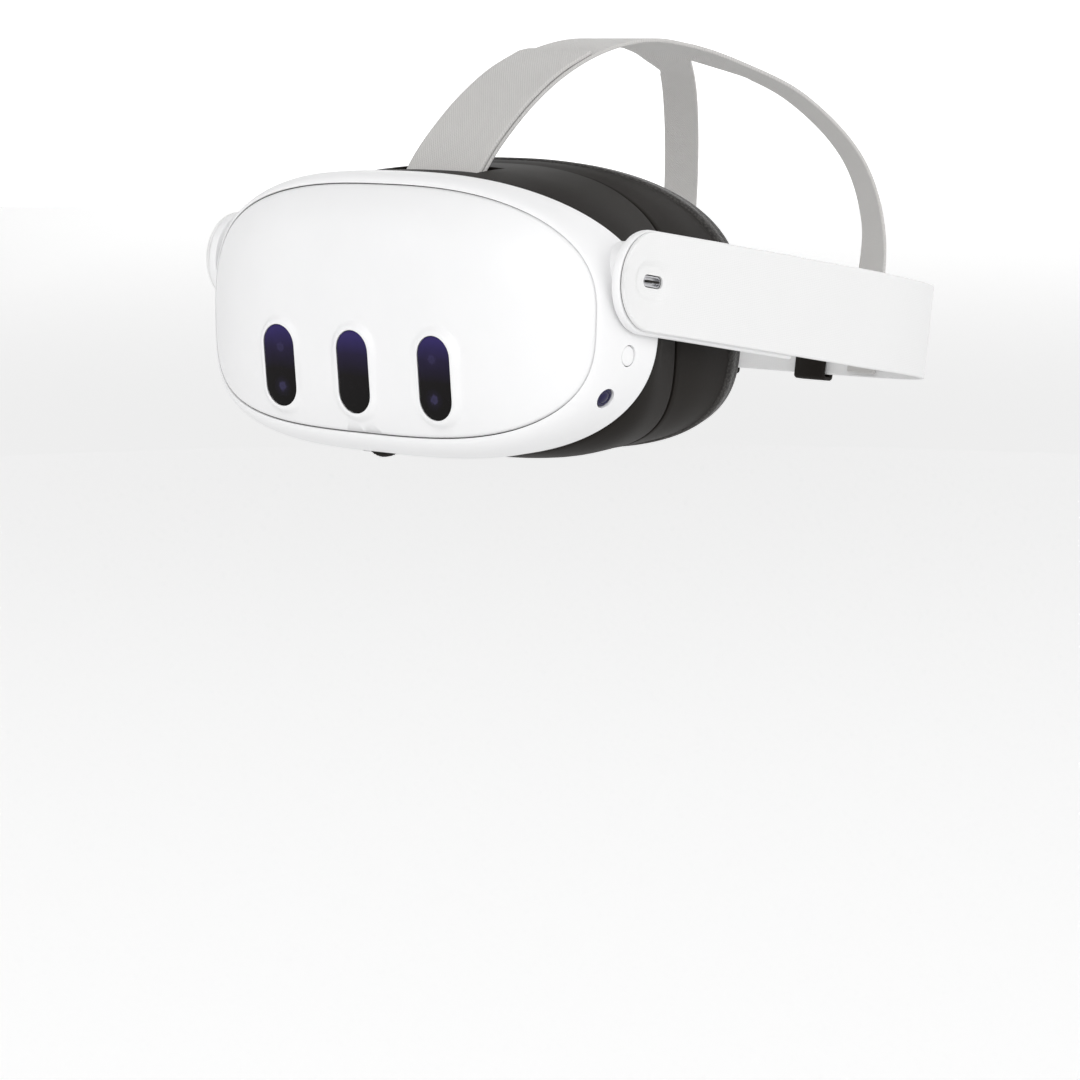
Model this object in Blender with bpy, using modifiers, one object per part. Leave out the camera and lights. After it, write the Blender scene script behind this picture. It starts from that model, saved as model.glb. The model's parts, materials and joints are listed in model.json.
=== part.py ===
"""Standalone VR headset with a pivoting head strap.

Frame: +X is the wearer's left, +Y points to the back of the head, +Z is up.  The origin lies on the
surface that the headset rests on, under the middle of its bounding box.

Every size below is in millimetres.  Shapes are written in headset coordinates: x from the middle,
y behind the front cover, z above the centre of the sensor windows.  The head strap's own pieces use
(x, u, v) instead: u runs back along the tilted strap from its pivot, and v is square to it.
"""

import math

import bmesh
import bpy
from mathutils import Matrix, Vector

MM = 0.001
GAP = 0.3

# where the headset coordinates lie in the world
FRONT_TO_MIDDLE = 126.09
WINDOW_HEIGHT = 31.0

# seam between the front cover and the shell: a superellipse on the crowned front
SEAM_WIDE = 85.3
SEAM_HALF = 41.6
SEAM_MID = 20.4
UPPER_SQUARENESS = 2.55
LOWER_SQUARENESS = 3.1
CHEEK_SQUARENESS = 3.9
AROUND = 52

# white shell
SHELL_WIDE = 88.2
SHELL_HALF = 47.7
SHELL_MID = 18.4
SHELL_WALL = 2.2
COVER_WALL = 2.0

# black housing behind the shell, and the facial interface behind it
HOUSING_WALL = 2.0
HOUSING_BACK = 74.0
FLOOR = -WINDOW_HEIGHT
FOOT = FLOOR - 0.7
RIM_MIDDLE = 92.0
RIM_SIDE = 119.0
RIM_WIDE = 75.5
PAD_DEPTH = 9.6

# sensor windows
WINDOW_HALF_WIDTH = 6.9
WINDOW_HALF_HEIGHT = 14.0
WINDOW_SPACING = 34.6

# optics
EYE_X = 32.0
EYE_Z = 16.0
TUBE_RADIUS = 25.0
PUPIL_TRAVEL = 3.3

# strap pivot and head strap
PIVOT_Y = 42.0
PIVOT_Z = 32.0
STRAP_TILT = math.radians(-9.5)
HUB_RADIUS = 16.3
BOSS_RADIUS = 12.5
SLEEVE_RADIUS = 7.2
SLEEVE_END = 91.0
BAND_X = 93.0
BAND_WALL = 1.6
LOOP_WIDE = 98.0
LOOP_START = 122.0
LOOP_DEEP = 84.5
LOOP_SQUARENESS = 3.2
CORE_WALL = 2.4
CORE_LENGTH = 80.0

# wheel, rocker, button and side cameras
WHEEL_Y = 15.1
WHEEL_Z = -21.1
WHEEL_RADIUS = 9.0
PINION_RADIUS = 2.2
ROCKER_CENTRE = (-45.0, 20.6, -25.9)
ROCKER_LENGTH = 22.0
ROCKER_WIDTH = 4.4
ROCKER_TURN = Matrix.Rotation(math.radians(8.3), 4, "Y")
BUTTON_CENTRE = (87.7, 36.0, 8.0)
BUTTON_RADIUS = 3.3
SIDE_CAMERA_CENTRE = (84.1, 28.7, -5.6)
SIDE_CAMERA_RADIUS = 3.3

# cooling
FAN_CENTRE = (0.0, 26.6, 41.0)
SINK_CENTRE = (-38.0, 26.7, 6.0)
COMB_TURN = Matrix.Rotation(math.radians(90), 4, "X")

# top strap: side view (y, z) from its anchor to the tab, then on to the fork
STRAP_HALF_WIDTH = 16.5
STRAP_THICK = 1.5
STRAP_SIDE = (
    (45.5, 60.6),
    (53.0, 69.4),
    (63.0, 78.4),
    (76.0, 88.0),
    (92.0, 97.0),
    (111.0, 104.2),
    (131.0, 108.4),
)
STRAP_CROWN = ((131.0, 108.4), (150.0, 109.2), (170.0, 107.0), (190.0, 102.4))

# middle line of the left branch, from the fork down to the band
BRANCH_HALF_WIDTH = 6.8
BRANCH_TURN_HIGH = math.radians(21.0)
BRANCH_TURN_LOW = math.radians(9.7)
BRANCH = (
    (11.4, 195.5, 101.8),
    (26.8, 220.0, 88.3),
    (39.8, 239.2, 66.2),
    (46.0, 246.2, 40.0),
    (47.5, 242.0, 12.0),
    (47.5, 236.4, -20.5),
)


def world(x, y, z):
    """World position, in metres, of a point in headset millimetres."""
    return Vector((x, y - FRONT_TO_MIDDLE, z + WINDOW_HEIGHT)) * MM


# ---------------------------------------------------------------- scene, materials, objects

for old in list(bpy.data.objects):
    bpy.data.objects.remove(old, do_unlink=True)

parts = bpy.data.collections.new("vr_headset")
cutters = bpy.data.collections.new("cutters")
bpy.context.scene.collection.children.link(parts)
bpy.context.scene.collection.children.link(cutters)


def material(name, colour, roughness, metallic=0.0):
    made = bpy.data.materials.new(name)
    made.use_nodes = True
    shader = made.node_tree.nodes["Principled BSDF"]
    shader.inputs["Base Color"].default_value = (*colour, 1.0)
    shader.inputs["Roughness"].default_value = roughness
    shader.inputs["Metallic"].default_value = metallic
    return made


WHITE = material("white_plastic", (0.86, 0.86, 0.86), 0.38)
BLACK = material("black_plastic", (0.035, 0.032, 0.030), 0.55)
FOAM = material("black_foam", (0.045, 0.041, 0.038), 0.95)
GLASS = material("dark_glass", (0.01, 0.01, 0.04), 0.06)
LENS = material("lens_glass", (0.75, 0.80, 0.85), 0.03)
WEBBING = material("grey_webbing", (0.55, 0.54, 0.53), 0.9)
BAND = material("white_band", (0.88, 0.88, 0.88), 0.8)
STEEL = material("steel", (0.60, 0.60, 0.62), 0.3, 1.0)
ALUMINIUM = material("aluminium", (0.70, 0.71, 0.72), 0.35, 1.0)
BOARD = material("circuit_board", (0.02, 0.10, 0.05), 0.5)
CELL = material("battery_wrap", (0.10, 0.10, 0.11), 0.4)


def place(name, mesh, finish, origin=None, parent=None, collection=parts):
    """Object for a mesh given in headset millimetres, with its own origin at `origin`.

    With a parent, the mesh and the origin are in the parent's own millimetres.
    """
    centre = Vector(origin or (0, 0, 0))
    location = centre * MM if parent else world(*centre)
    mesh.transform(Matrix.Scale(MM, 4) @ Matrix.Translation(-centre))
    made = bpy.data.objects.new(name, mesh)
    collection.objects.link(made)
    made.location = location
    made.parent = parent
    if finish:
        mesh.materials.append(finish)
        mesh.shade_smooth()
        mesh.set_sharp_from_angle(angle=math.radians(35))
    return made


def finished(build):
    """New mesh from a bmesh, with its faces turned outwards."""
    bmesh.ops.recalc_face_normals(build, faces=build.faces)
    mesh = bpy.data.meshes.new("piece")
    build.to_mesh(mesh)
    build.free()
    return mesh


def bevelled(obj, width, segments=2):
    bevel = obj.modifiers.new("edge", "BEVEL")
    bevel.width = width * MM
    bevel.segments = segments
    bevel.limit_method = "ANGLE"
    bevel.angle_limit = math.radians(40)
    return obj


def cut(obj, cutter):
    """Cut one object's shape out of another."""
    cutter.hide_render = True
    cutter.display_type = "WIRE"
    boolean = obj.modifiers.new("cut", "BOOLEAN")
    boolean.operation = "DIFFERENCE"
    boolean.solver = "EXACT"
    boolean.object = cutter


def joined(obj, other):
    """Add another object's shape to this one."""
    other.hide_render = True
    other.display_type = "WIRE"
    boolean = obj.modifiers.new("join", "BOOLEAN")
    boolean.operation = "UNION"
    boolean.solver = "EXACT"
    boolean.object = other


# ---------------------------------------------------------------- basic shapes, in millimetres


def block_mesh(size, turn=None, centre=(0, 0, 0)):
    build = bmesh.new()
    shape = Matrix.Diagonal((*size, 1.0))
    bmesh.ops.create_cube(build, size=1.0, matrix=Matrix.Translation(centre) @ (turn or Matrix()) @ shape)
    return finished(build)


def turn_to(axis):
    """Rotation that takes local Z to an axis."""
    return Vector(axis).to_track_quat("Z", "Y").to_matrix().to_4x4()


def rod_mesh(radius, start, end, segments=24):
    """Cylinder between two points."""
    start = Vector(start)
    end = Vector(end)
    build = bmesh.new()
    bmesh.ops.create_cone(
        build,
        cap_ends=True,
        segments=segments,
        radius1=radius,
        radius2=radius,
        depth=(end - start).length,
        matrix=Matrix.Translation((start + end) / 2) @ turn_to(end - start),
    )
    return finished(build)


def loft_mesh(rings, capped=True, ring_closed=False):
    """Faces between rings of equal length.

    capped closes the first and last ring; ring_closed joins the last ring to the first, which
    makes a hollow frame.
    """
    build = bmesh.new()
    rows = [[build.verts.new(point) for point in ring] for ring in rings]
    pairs = list(zip(rows, rows[1:]))
    if ring_closed:
        pairs.append((rows[-1], rows[0]))
    for near, far in pairs:
        count = len(near)
        for i in range(count):
            j = (i + 1) % count
            build.faces.new((near[i], near[j], far[j], far[i]))
    if capped and not ring_closed:
        build.faces.new(rows[0])
        build.faces.new(rows[-1])
    return finished(build)


def sheet_mesh(rows):
    """Open surface through rows of points."""
    build = bmesh.new()
    grid = [[build.verts.new(point) for point in row] for row in rows]
    for near, far in zip(grid, grid[1:]):
        for i in range(len(near) - 1):
            build.faces.new((near[i], near[i + 1], far[i + 1], far[i]))
    return finished(build)


def thickened(obj, thickness, offset=0.0):
    solid = obj.modifiers.new("wall", "SOLIDIFY")
    solid.thickness = thickness * MM
    solid.offset = offset
    solid.use_even_offset = True
    return obj


def turned(name, profile, centre, axis, finish, closed=False, steps=28, parent=None):
    """Solid turned about an axis.  The profile is (radius, height) from top to bottom."""
    mesh = bpy.data.meshes.new(name)
    points = [(radius * MM, 0.0, height * MM) for radius, height in profile]
    edges = [(i, i + 1) for i in range(len(points) - 1)]
    if closed:
        edges.append((len(points) - 1, 0))
    mesh.from_pydata(points, edges, [])
    mesh.materials.append(finish)
    made = bpy.data.objects.new(name, mesh)
    parts.objects.link(made)
    made.location = Vector(centre) * MM if parent else world(*centre)
    made.parent = parent
    made.rotation_mode = "QUATERNION"
    made.rotation_quaternion = Vector(axis).to_track_quat("Z", "Y")
    screw = made.modifiers.new("turn", "SCREW")
    screw.steps = steps
    screw.render_steps = steps
    screw.use_merge_vertices = True
    screw.merge_threshold = 0.00001
    screw.use_smooth_shade = True
    return made


def stadium(half_width, half_height, count=9):
    """Outline with two straight sides and two half circles, longer in its second direction."""
    straight = half_height - half_width
    points = []
    for centre, start in ((straight, 0.0), (-straight, math.pi)):
        for i in range(count):
            angle = start + math.pi * i / (count - 1)
            points.append((half_width * math.cos(angle), centre + half_width * math.sin(angle)))
    return points


def plate_mesh(outline, thickness, frame):
    """Flat outline of (across, up) extruded along the frame's own Y, which is its depth."""
    near = [frame @ Vector((x, 0.0, z)) for x, z in outline]
    far = [frame @ Vector((x, thickness, z)) for x, z in outline]
    return loft_mesh([near, far])


# ---------------------------------------------------------------- the headset's own curves


def oval(wide, half, mid, lower=LOWER_SQUARENESS, count=AROUND):
    """Superellipse outline of (x, z), starting at +x, with its own squareness below the middle."""
    points = []
    for i in range(count):
        angle = 2.0 * math.pi * i / count
        power = 2.0 / (UPPER_SQUARENESS if 2 * i <= count else lower)
        x = math.copysign(abs(math.cos(angle)) ** power, math.cos(angle))
        z = math.copysign(abs(math.sin(angle)) ** power, math.sin(angle))
        points.append((wide * x, mid + half * z))
    return points


def oval_between(wide, top, bottom, lower=CHEEK_SQUARENESS):
    """Oval between two heights, flat where it would reach below the floor."""
    points = oval(wide, (top - bottom) / 2, (top + bottom) / 2, lower)
    return [(x, max(z, FLOOR)) for x, z in points]


def front_depth(x, z):
    """How far the crowned front lies behind the middle of the centre window."""
    across = x / SEAM_WIDE
    up = (z - 16.0) / 45.0
    corner = 12.0 * across**2 * max(up, 0.0) ** 2
    return 5.0 * across**2 + 17.0 * across**4 + 12.2 * up**4 + corner - 0.2


def shell_back(z):
    """Rear edge of the white shell, furthest back beside the strap pivots."""
    return 52.0 - 0.0115 * (z - 16.0) ** 2


def rim_depth(x):
    """Rear edge of the facial interface, which curves back round the temples."""
    return RIM_MIDDLE + (RIM_SIDE - RIM_MIDDLE) * (x / RIM_WIDE) ** 2


def nose_rise(x, z):
    """Lift of the interface's lower edge over the nose."""
    if z > SHELL_MID:
        return 0.0
    return 17.0 * math.exp(-((x / 15.0) ** 2))


# ---------------------------------------------------------------- front cover and sensor pods


def pod_frame(x):
    """Frame of a sensor pod: on the front surface, turned with its slope."""
    step = 0.5
    turn = math.atan((front_depth(x + step, 0) - front_depth(x - step, 0)) / (2 * step))
    lean = -math.atan((front_depth(x, -10.0) - front_depth(x, 10.0)) / 20.0)
    place_at = Matrix.Translation((x, front_depth(x, 0.0), 0.0))
    return place_at @ Matrix.Rotation(turn, 4, "Z") @ Matrix.Rotation(lean, 4, "X")


def make_front_cover():
    build = bmesh.new()
    fractions = (0.3, 0.55, 0.75, 0.88, 0.96, 1.0)
    outline = oval(SEAM_WIDE - GAP, SEAM_HALF - GAP, SEAM_MID)
    centre = build.verts.new((0.0, front_depth(0.0, SEAM_MID), SEAM_MID))
    rows = []
    for part in fractions:
        ring = []
        for x, z in outline:
            up = SEAM_MID + (z - SEAM_MID) * part
            ring.append(build.verts.new((x * part, front_depth(x * part, up), up)))
        rows.append(ring)
    for i in range(AROUND):
        j = (i + 1) % AROUND
        build.faces.new((centre, rows[0][i], rows[0][j]))
        for near, far in zip(rows, rows[1:]):
            build.faces.new((near[i], far[i], far[j], near[j]))
    mesh = finished(build)
    if mesh.polygons[0].normal.y > 0:
        mesh.flip_normals()
    cover = thickened(place("front_cover", mesh, WHITE), COVER_WALL, -1.0)
    for side in (-1, 0, 1):
        frame = pod_frame(side * WINDOW_SPACING) @ Matrix.Translation((0.0, -5.0, 0.0))
        outline = stadium(WINDOW_HALF_WIDTH + GAP, WINDOW_HALF_HEIGHT + GAP)
        opening = place(f"window_opening_{side}", plate_mesh(outline, 12.0, frame), None, collection=cutters)
        cut(cover, opening)


def make_sensor_pods():
    names = {-1: "right", 0: "center", 1: "left"}
    for side, word in names.items():
        frame = pod_frame(side * WINDOW_SPACING)
        window = frame @ Matrix.Translation((0.0, 0.9, 0.0))
        outline = stadium(WINDOW_HALF_WIDTH, WINDOW_HALF_HEIGHT)
        place(f"sensor_window_{word}", plate_mesh(outline, 1.3, window), GLASS)
        if side == 0:
            body = frame @ Matrix.Translation((0.0, 7.0, 0.0))
            mesh = block_mesh((9.0, 6.0, 20.0))
            mesh.transform(body)
            bevelled(place("depth_projector", mesh, BLACK), 0.6)
            continue
        for level, height in (("upper", 6.8), ("lower", -6.8)):
            start = frame @ Vector((0.0, 3.0, height))
            end = frame @ Vector((0.0, 9.5, height))
            barrel = place(f"camera_{word}_{level}", rod_mesh(4.2, start, end), BLACK)
            bevelled(barrel, 0.5)


# ---------------------------------------------------------------- white shell


def shell_ring(along, inset=0.0, behind=0.0):
    """Ring of the shell, from the seam (0) to its rear edge (1)."""
    swell = math.sqrt(1.0 - (1.0 - min(along / 0.6, 1.0)) ** 2)
    wide = SEAM_WIDE + GAP + (SHELL_WIDE - SEAM_WIDE - GAP) * swell - inset
    half = SEAM_HALF + GAP + (SHELL_HALF - SEAM_HALF - GAP) * swell - inset
    mid = SEAM_MID + (SHELL_MID - SEAM_MID) * swell
    seam = oval(SEAM_WIDE, SEAM_HALF, SEAM_MID)
    ring = []
    for (x, z), (seam_x, seam_z) in zip(oval(wide, half, mid), seam):
        start = front_depth(seam_x, seam_z)
        ring.append((x, start + (shell_back(z) - start) * along + behind, z))
    return ring


def make_visor_shell():
    outside = [shell_ring(along) for along in (0.0, 0.05, 0.14, 0.30, 0.6, 1.0)]
    inside = [shell_ring(along, SHELL_WALL) for along in (1.0, 0.6, 0.34)]
    ledge = [shell_ring(0.0, 2.6, 4.6), shell_ring(0.0, 3.2, 2.6), shell_ring(0.0, 0.2, 2.3)]
    mesh = loft_mesh(outside + inside + ledge, ring_closed=True)
    shell = place("visor_shell", mesh, WHITE)

    # a flat round boss on each side carries the strap's pivot
    core_wide = SHELL_WIDE - SHELL_WALL + 0.4
    core_half = SHELL_HALF - SHELL_WALL + 0.4
    outline = oval(core_wide, core_half, SHELL_MID)
    core = place(
        "shell_core",
        loft_mesh([[(x, y, z) for x, z in outline] for y in (-5.0, 90.0)]),
        None,
        collection=cutters,
    )
    for side in (-1, 1):
        hub = (PIVOT_Y, PIVOT_Z)
        mesh = rod_mesh(BOSS_RADIUS, (side * 68.0, *hub), (side * 89.1, *hub), 40)
        boss = place(f"boss_{side}", mesh, None, collection=cutters)
        cut(boss, core)
        joined(shell, boss)
    for side in (-1, 1):
        hub = (PIVOT_Y, PIVOT_Z)
        mesh = rod_mesh(SLEEVE_RADIUS + 0.35, (side * 60.0, *hub), (side * 95.0, *hub), 32)
        cut(shell, place(f"sleeve_hole_{side}", mesh, None, collection=cutters))

    # openings for the lens wheel, the volume rocker, the power button and the side cameras
    slot = block_mesh((17.4, 4.9, 16.0), centre=(0.0, WHEEL_Y, -32.0))
    cut(shell, place("wheel_slot", slot, None, collection=cutters))
    slot = block_mesh((ROCKER_LENGTH + 0.8, ROCKER_WIDTH + 0.8, 9.0), ROCKER_TURN, ROCKER_CENTRE)
    cut(shell, place("rocker_slot", slot, None, collection=cutters))
    start = (BUTTON_CENTRE[0] - 8.0, *BUTTON_CENTRE[1:])
    end = (BUTTON_CENTRE[0] + 4.0, *BUTTON_CENTRE[1:])
    cut(shell, place("button_hole", rod_mesh(BUTTON_RADIUS + GAP, start, end), None, collection=cutters))
    for side in (-1, 1):
        mesh = rod_mesh(SIDE_CAMERA_RADIUS + GAP, *side_camera_axis(side, -8.0, 4.0))
        cut(shell, place(f"side_camera_hole_{side}", mesh, None, collection=cutters))


def side_camera_axis(side, start, end):
    """Two points on a side camera's axis, measured outwards from its window."""
    centre = Vector((side * SIDE_CAMERA_CENTRE[0], *SIDE_CAMERA_CENTRE[1:]))
    outwards = Vector((side * 0.899, -0.059, -0.435)).normalized()
    return centre + outwards * start, centre + outwards * end


def make_side_details():
    for side, word in ((1, "left"), (-1, "right")):
        camera = place(f"side_camera_{word}", rod_mesh(SIDE_CAMERA_RADIUS, *side_camera_axis(side, -5.0, -0.4)), GLASS)
        bevelled(camera, 0.6)
    x, y, z = BUTTON_CENTRE
    mesh = rod_mesh(BUTTON_RADIUS, (x - 3.4, y, z), (x, y, z), 32)
    bevelled(place("power_button", mesh, WHITE, BUTTON_CENTRE), 0.3)
    size = (ROCKER_LENGTH, ROCKER_WIDTH, 2.6)
    mesh = block_mesh(size, ROCKER_TURN, ROCKER_CENTRE)
    bevelled(place("volume_rocker", mesh, WHITE, ROCKER_CENTRE), 0.6)


# ---------------------------------------------------------------- black housing and lens panel


def housing_rings(inset):
    """Rings of the housing from inside the shell to its back, smaller by an inset."""
    sections = (
        (-9.0, 0.0, 85.4, 62.9, -26.6, LOWER_SQUARENESS),
        (0.8, 0.0, 85.4, 62.9, -26.6, LOWER_SQUARENESS),
        (6.0, 0.0, 84.6, 64.6, -29.6, 3.4),
        (0.0, 0.5, 82.6, 66.6, FOOT, CHEEK_SQUARENESS),
        (0.0, 1.0, 79.0, 67.2, FOOT, CHEEK_SQUARENESS),
    )
    rings = []
    for behind, part, wide, top, bottom, lower in sections:
        ring = []
        for x, z in oval_between(wide - inset, top - inset, bottom + inset, lower):
            z = max(z, FLOOR + inset)
            edge = shell_back(min(max(z, SHELL_MID - SHELL_HALF), SHELL_MID + SHELL_HALF))
            y = edge + behind + (HOUSING_BACK - edge) * part
            ring.append((x, y, z))
        rings.append(ring)
    return rings


def make_rear_housing():
    rings = housing_rings(0.0) + housing_rings(HOUSING_WALL)[::-1]
    housing = place("rear_housing", loft_mesh(rings, ring_closed=True), BLACK)
    for side in (-1, 1):
        hub = (PIVOT_Y, PIVOT_Z)
        mesh = rod_mesh(SLEEVE_RADIUS + 0.35, (side * 60.0, *hub), (side * 95.0, *hub), 32)
        cut(housing, place(f"housing_sleeve_hole_{side}", mesh, None, collection=cutters))
    pocket = block_mesh((41.0, 15.0, 20.0), centre=(0.0, 47.5, 69.5))
    cut(housing, place("strap_pocket", pocket, None, collection=cutters))


def make_lens_panel():
    near = [(x, 61.0, z) for x, z in oval_between(77.4, 63.6, -27.9)]
    far = [(x, 62.8, z) for x, z in oval_between(77.4, 63.6, -27.9)]
    panel = place("lens_panel", loft_mesh([near, far]), BLACK)
    for side in (-1, 1):
        radius = TUBE_RADIUS + 0.7
        outline = [(z, x) for x, z in stadium(radius, radius + PUPIL_TRAVEL + 0.2, 17)]
        frame = Matrix.Translation((side * EYE_X, 55.0, EYE_Z))
        cut(panel, place(f"tube_hole_{side}", plate_mesh(outline, 14.0, frame), None, collection=cutters))
    sensor = place("proximity_sensor", block_mesh((8.0, 1.2, 4.0), centre=(0.0, 63.8, 37.0)), GLASS)
    bevelled(sensor, 0.3)
    spots = ((58.0, 45.0), (-58.0, 45.0), (58.0, -13.0), (-58.0, -13.0))
    for number, (x, z) in enumerate(spots, 1):
        profile = ((0.0, 1.1), (1.0, 1.0), (2.2, 0.5), (2.2, 0.0), (0.0, 0.0))
        turned(f"panel_screw_{number}", profile, (x, 63.2, z), (0, 1, 0), STEEL, steps=16)


# ---------------------------------------------------------------- optics and their adjuster


def make_optics():
    for side, word in ((1, "left"), (-1, "right")):
        x = side * EYE_X
        barrel = (
            (TUBE_RADIUS - 1.2, 35.0),
            (TUBE_RADIUS, 34.0),
            (TUBE_RADIUS, 0.0),
            (TUBE_RADIUS - 2.2, 0.0),
            (TUBE_RADIUS - 2.2, 35.0),
        )
        turned(f"lens_tube_{word}", barrel, (x, 36.0, EYE_Z), (0, 1, 0), BLACK, closed=True, steps=36)
        radius = TUBE_RADIUS - 2.6
        bulge = [(radius * math.sin(a), 3.0 + 4.0 * math.cos(a)) for a in (0.0, 0.4, 0.8, 1.2)]
        profile = bulge + [(radius, 3.0), (radius, 0.0), (0.0, -1.5)]
        turned(f"lens_{word}", profile, (x, 61.0, EYE_Z), (0, 1, 0), LENS, steps=36)
        screen = block_mesh((43.0, 1.5, 43.0), centre=(x, 34.6, EYE_Z))
        place(f"display_{word}", screen, GLASS)

    # one wheel and its pinion move both racks, in opposite directions
    profile = (
        (0.0, 30.0),
        (PINION_RADIUS, 30.0),
        (PINION_RADIUS, 26.0),
        (1.2, 26.0),
        (1.2, 1.75),
        (WHEEL_RADIUS - 0.6, 1.75),
        (WHEEL_RADIUS, 1.1),
        (WHEEL_RADIUS, -1.1),
        (WHEEL_RADIUS - 0.6, -1.75),
        (0.0, -1.75),
    )
    turned("ipd_wheel", profile, (0.0, WHEEL_Y, WHEEL_Z), (0, 1, 0), BLACK)
    for side, word in ((1, "left"), (-1, "right")):
        height = WHEEL_Z + side * (PINION_RADIUS + 1.3)
        bar = block_mesh((40.0, 2.6, 1.8), centre=(side * 13.0, 44.4, height))
        top = EYE_Z - TUBE_RADIUS - 0.4
        post_height = top - height
        post = block_mesh((5.0, 2.6, post_height), centre=(side * EYE_X, 44.4, height + post_height / 2))
        rack = place(f"ipd_rack_{word}", bar, BLACK)
        joined(rack, place(f"rack_post_{word}", post, None, collection=cutters))


# ---------------------------------------------------------------- electronics


def make_electronics():
    board = place("main_board", block_mesh((118.0, 1.2, 58.0), centre=(0.0, 25.6, 21.0)), BOARD)
    bevelled(board, 3.0, 1)
    bevelled(place("battery", block_mesh((84.0, 6.6, 30.0), centre=(0.0, 19.5, 37.0)), CELL), 1.2)
    fins = [(-20.0, 0.0), (20.0, 0.0)]
    for i in range(9):
        right = 20.0 - i * 4.9
        fins += [(right, 5.0), (right - 1.0, 5.0)]
        if i < 8:
            fins += [(right - 1.0, 1.2), (right - 4.9, 1.2)]
    # the comb outline lies flat, so its fins stand behind the board
    comb = [(x, -z) for x, z in fins]
    place("heat_sink", plate_mesh(comb, 18.0, Matrix.Translation(SINK_CENTRE) @ COMB_TURN), ALUMINIUM)
    cup = ((15.6, 6.4), (15.6, 0.0), (0.0, 0.0), (0.0, 1.0), (14.4, 1.0), (14.4, 6.4))
    turned("fan_housing", cup, FAN_CENTRE, (0, 1, 0), BLACK, closed=True, steps=32)
    blades = 9
    outline = []
    for i in range(blades):
        for part, radius in ((0.0, 5.5), (0.25, 13.4), (0.5, 13.4), (0.75, 5.5)):
            angle = 2.0 * math.pi * (i + part) / blades
            outline.append((radius * math.cos(angle), radius * math.sin(angle)))
    frame = Matrix.Translation(FAN_CENTRE) @ Matrix.Translation((0.0, 1.5, 0.0))
    place("fan_rotor", plate_mesh(outline, 4.2, frame), BLACK, FAN_CENTRE)
    for side, word in ((1, "left"), (-1, "right")):
        capsule = block_mesh((3.5, 2.6, 1.2), centre=(side * 22.0, 12.6, -17.0))
        place(f"microphone_{word}", capsule, STEEL)


# ---------------------------------------------------------------- facial interface


def interface_ring(wide, top, bottom, depth, nose=0.0):
    ring = []
    for x, z in oval_between(wide, top, bottom):
        ring.append((x, depth(x), z + nose * nose_rise(x, z)))
    return ring


def make_facial_interface():
    def behind_rim(offset):
        return lambda x: rim_depth(x) + offset

    def flat(y):
        return lambda x: y

    def between(part, offset):
        return lambda x: 75.0 + (rim_depth(x) - PAD_DEPTH + offset - 75.0) * part

    top = 68.0
    rings = [
        interface_ring(79.0, 66.8, FOOT, flat(74.8)),
        interface_ring(78.4, 67.6, FOOT, between(0.45, -GAP), 0.25),
        interface_ring(76.2, top, FOOT, behind_rim(-PAD_DEPTH - GAP), 1.0),
        interface_ring(72.6, top - 3.6, FLOOR + 3.6, behind_rim(-PAD_DEPTH - GAP), 1.0),
        interface_ring(75.0, 64.4, FLOOR + 3.2, between(0.45, -GAP), 0.25),
        interface_ring(74.6, 62.4, FLOOR + 3.8, flat(74.8), 0.0),
        interface_ring(73.4, 61.2, FLOOR + 4.6, flat(64.4)),
        interface_ring(76.2, 63.8, FLOOR + 2.5, flat(64.4)),
        interface_ring(76.2, 63.8, FLOOR + 2.5, flat(74.8)),
    ]
    place("face_frame", loft_mesh(rings, ring_closed=True), BLACK, (0.0, HOUSING_BACK, 0.0))
    rings = [
        interface_ring(76.0, top, FOOT, behind_rim(-PAD_DEPTH), 1.0),
        interface_ring(76.4, top + 0.3, FOOT, behind_rim(-PAD_DEPTH * 0.55), 1.0),
        interface_ring(74.6, top - 1.0, FLOOR + 0.9, behind_rim(-2.0), 1.0),
        interface_ring(70.5, top - 5.0, FLOOR + 4.5, behind_rim(0.0), 1.0),
        interface_ring(63.5, top - 11.0, FLOOR + 10.0, behind_rim(-1.0), 1.0),
        interface_ring(58.5, top - 15.5, FLOOR + 14.5, behind_rim(-4.5), 1.0),
        interface_ring(59.0, top - 15.0, FLOOR + 14.0, behind_rim(-PAD_DEPTH), 1.0),
    ]
    place("face_pad", loft_mesh(rings, ring_closed=True), FOAM, (0.0, HOUSING_BACK, 0.0))
    for side, word in ((1, "left"), (-1, "right")):
        centre = (side * 71.6, 84.0, 19.0)
        key = place(f"depth_button_{word}", block_mesh((2.6, 8.0, 13.0), centre=centre), BLACK, centre)
        bevelled(key, 0.8)


# ---------------------------------------------------------------- head strap


pivot = bpy.data.objects.new("strap_pivot", None)
parts.objects.link(pivot)
pivot.location = world(0.0, PIVOT_Y, PIVOT_Z)
pivot.rotation_euler = (STRAP_TILT, 0.0, 0.0)


def loop_point(along):
    """(x, u) on the strap's middle line: 0 to 1 down the arm, 1 to 2 round to the back."""
    if along <= 1.0:
        u = LOOP_START * along
        return BAND_X + (LOOP_WIDE - BAND_X) * math.sin(math.pi / 2 * along), u
    angle = (along - 1.0) * math.pi / 2
    power = 2.0 / LOOP_SQUARENESS
    x = LOOP_WIDE * abs(math.cos(angle)) ** power
    return x, LOOP_START + LOOP_DEEP * abs(math.sin(angle)) ** power


def loop_normal(along):
    """Outward direction (x, u) of the strap's middle line."""
    x0, u0 = loop_point(max(along - 0.01, 0.0))
    x1, u1 = loop_point(min(along + 0.01, 2.0))
    length = math.hypot(x1 - x0, u1 - u0)
    return (u1 - u0) / length, -(x1 - x0) / length


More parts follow.
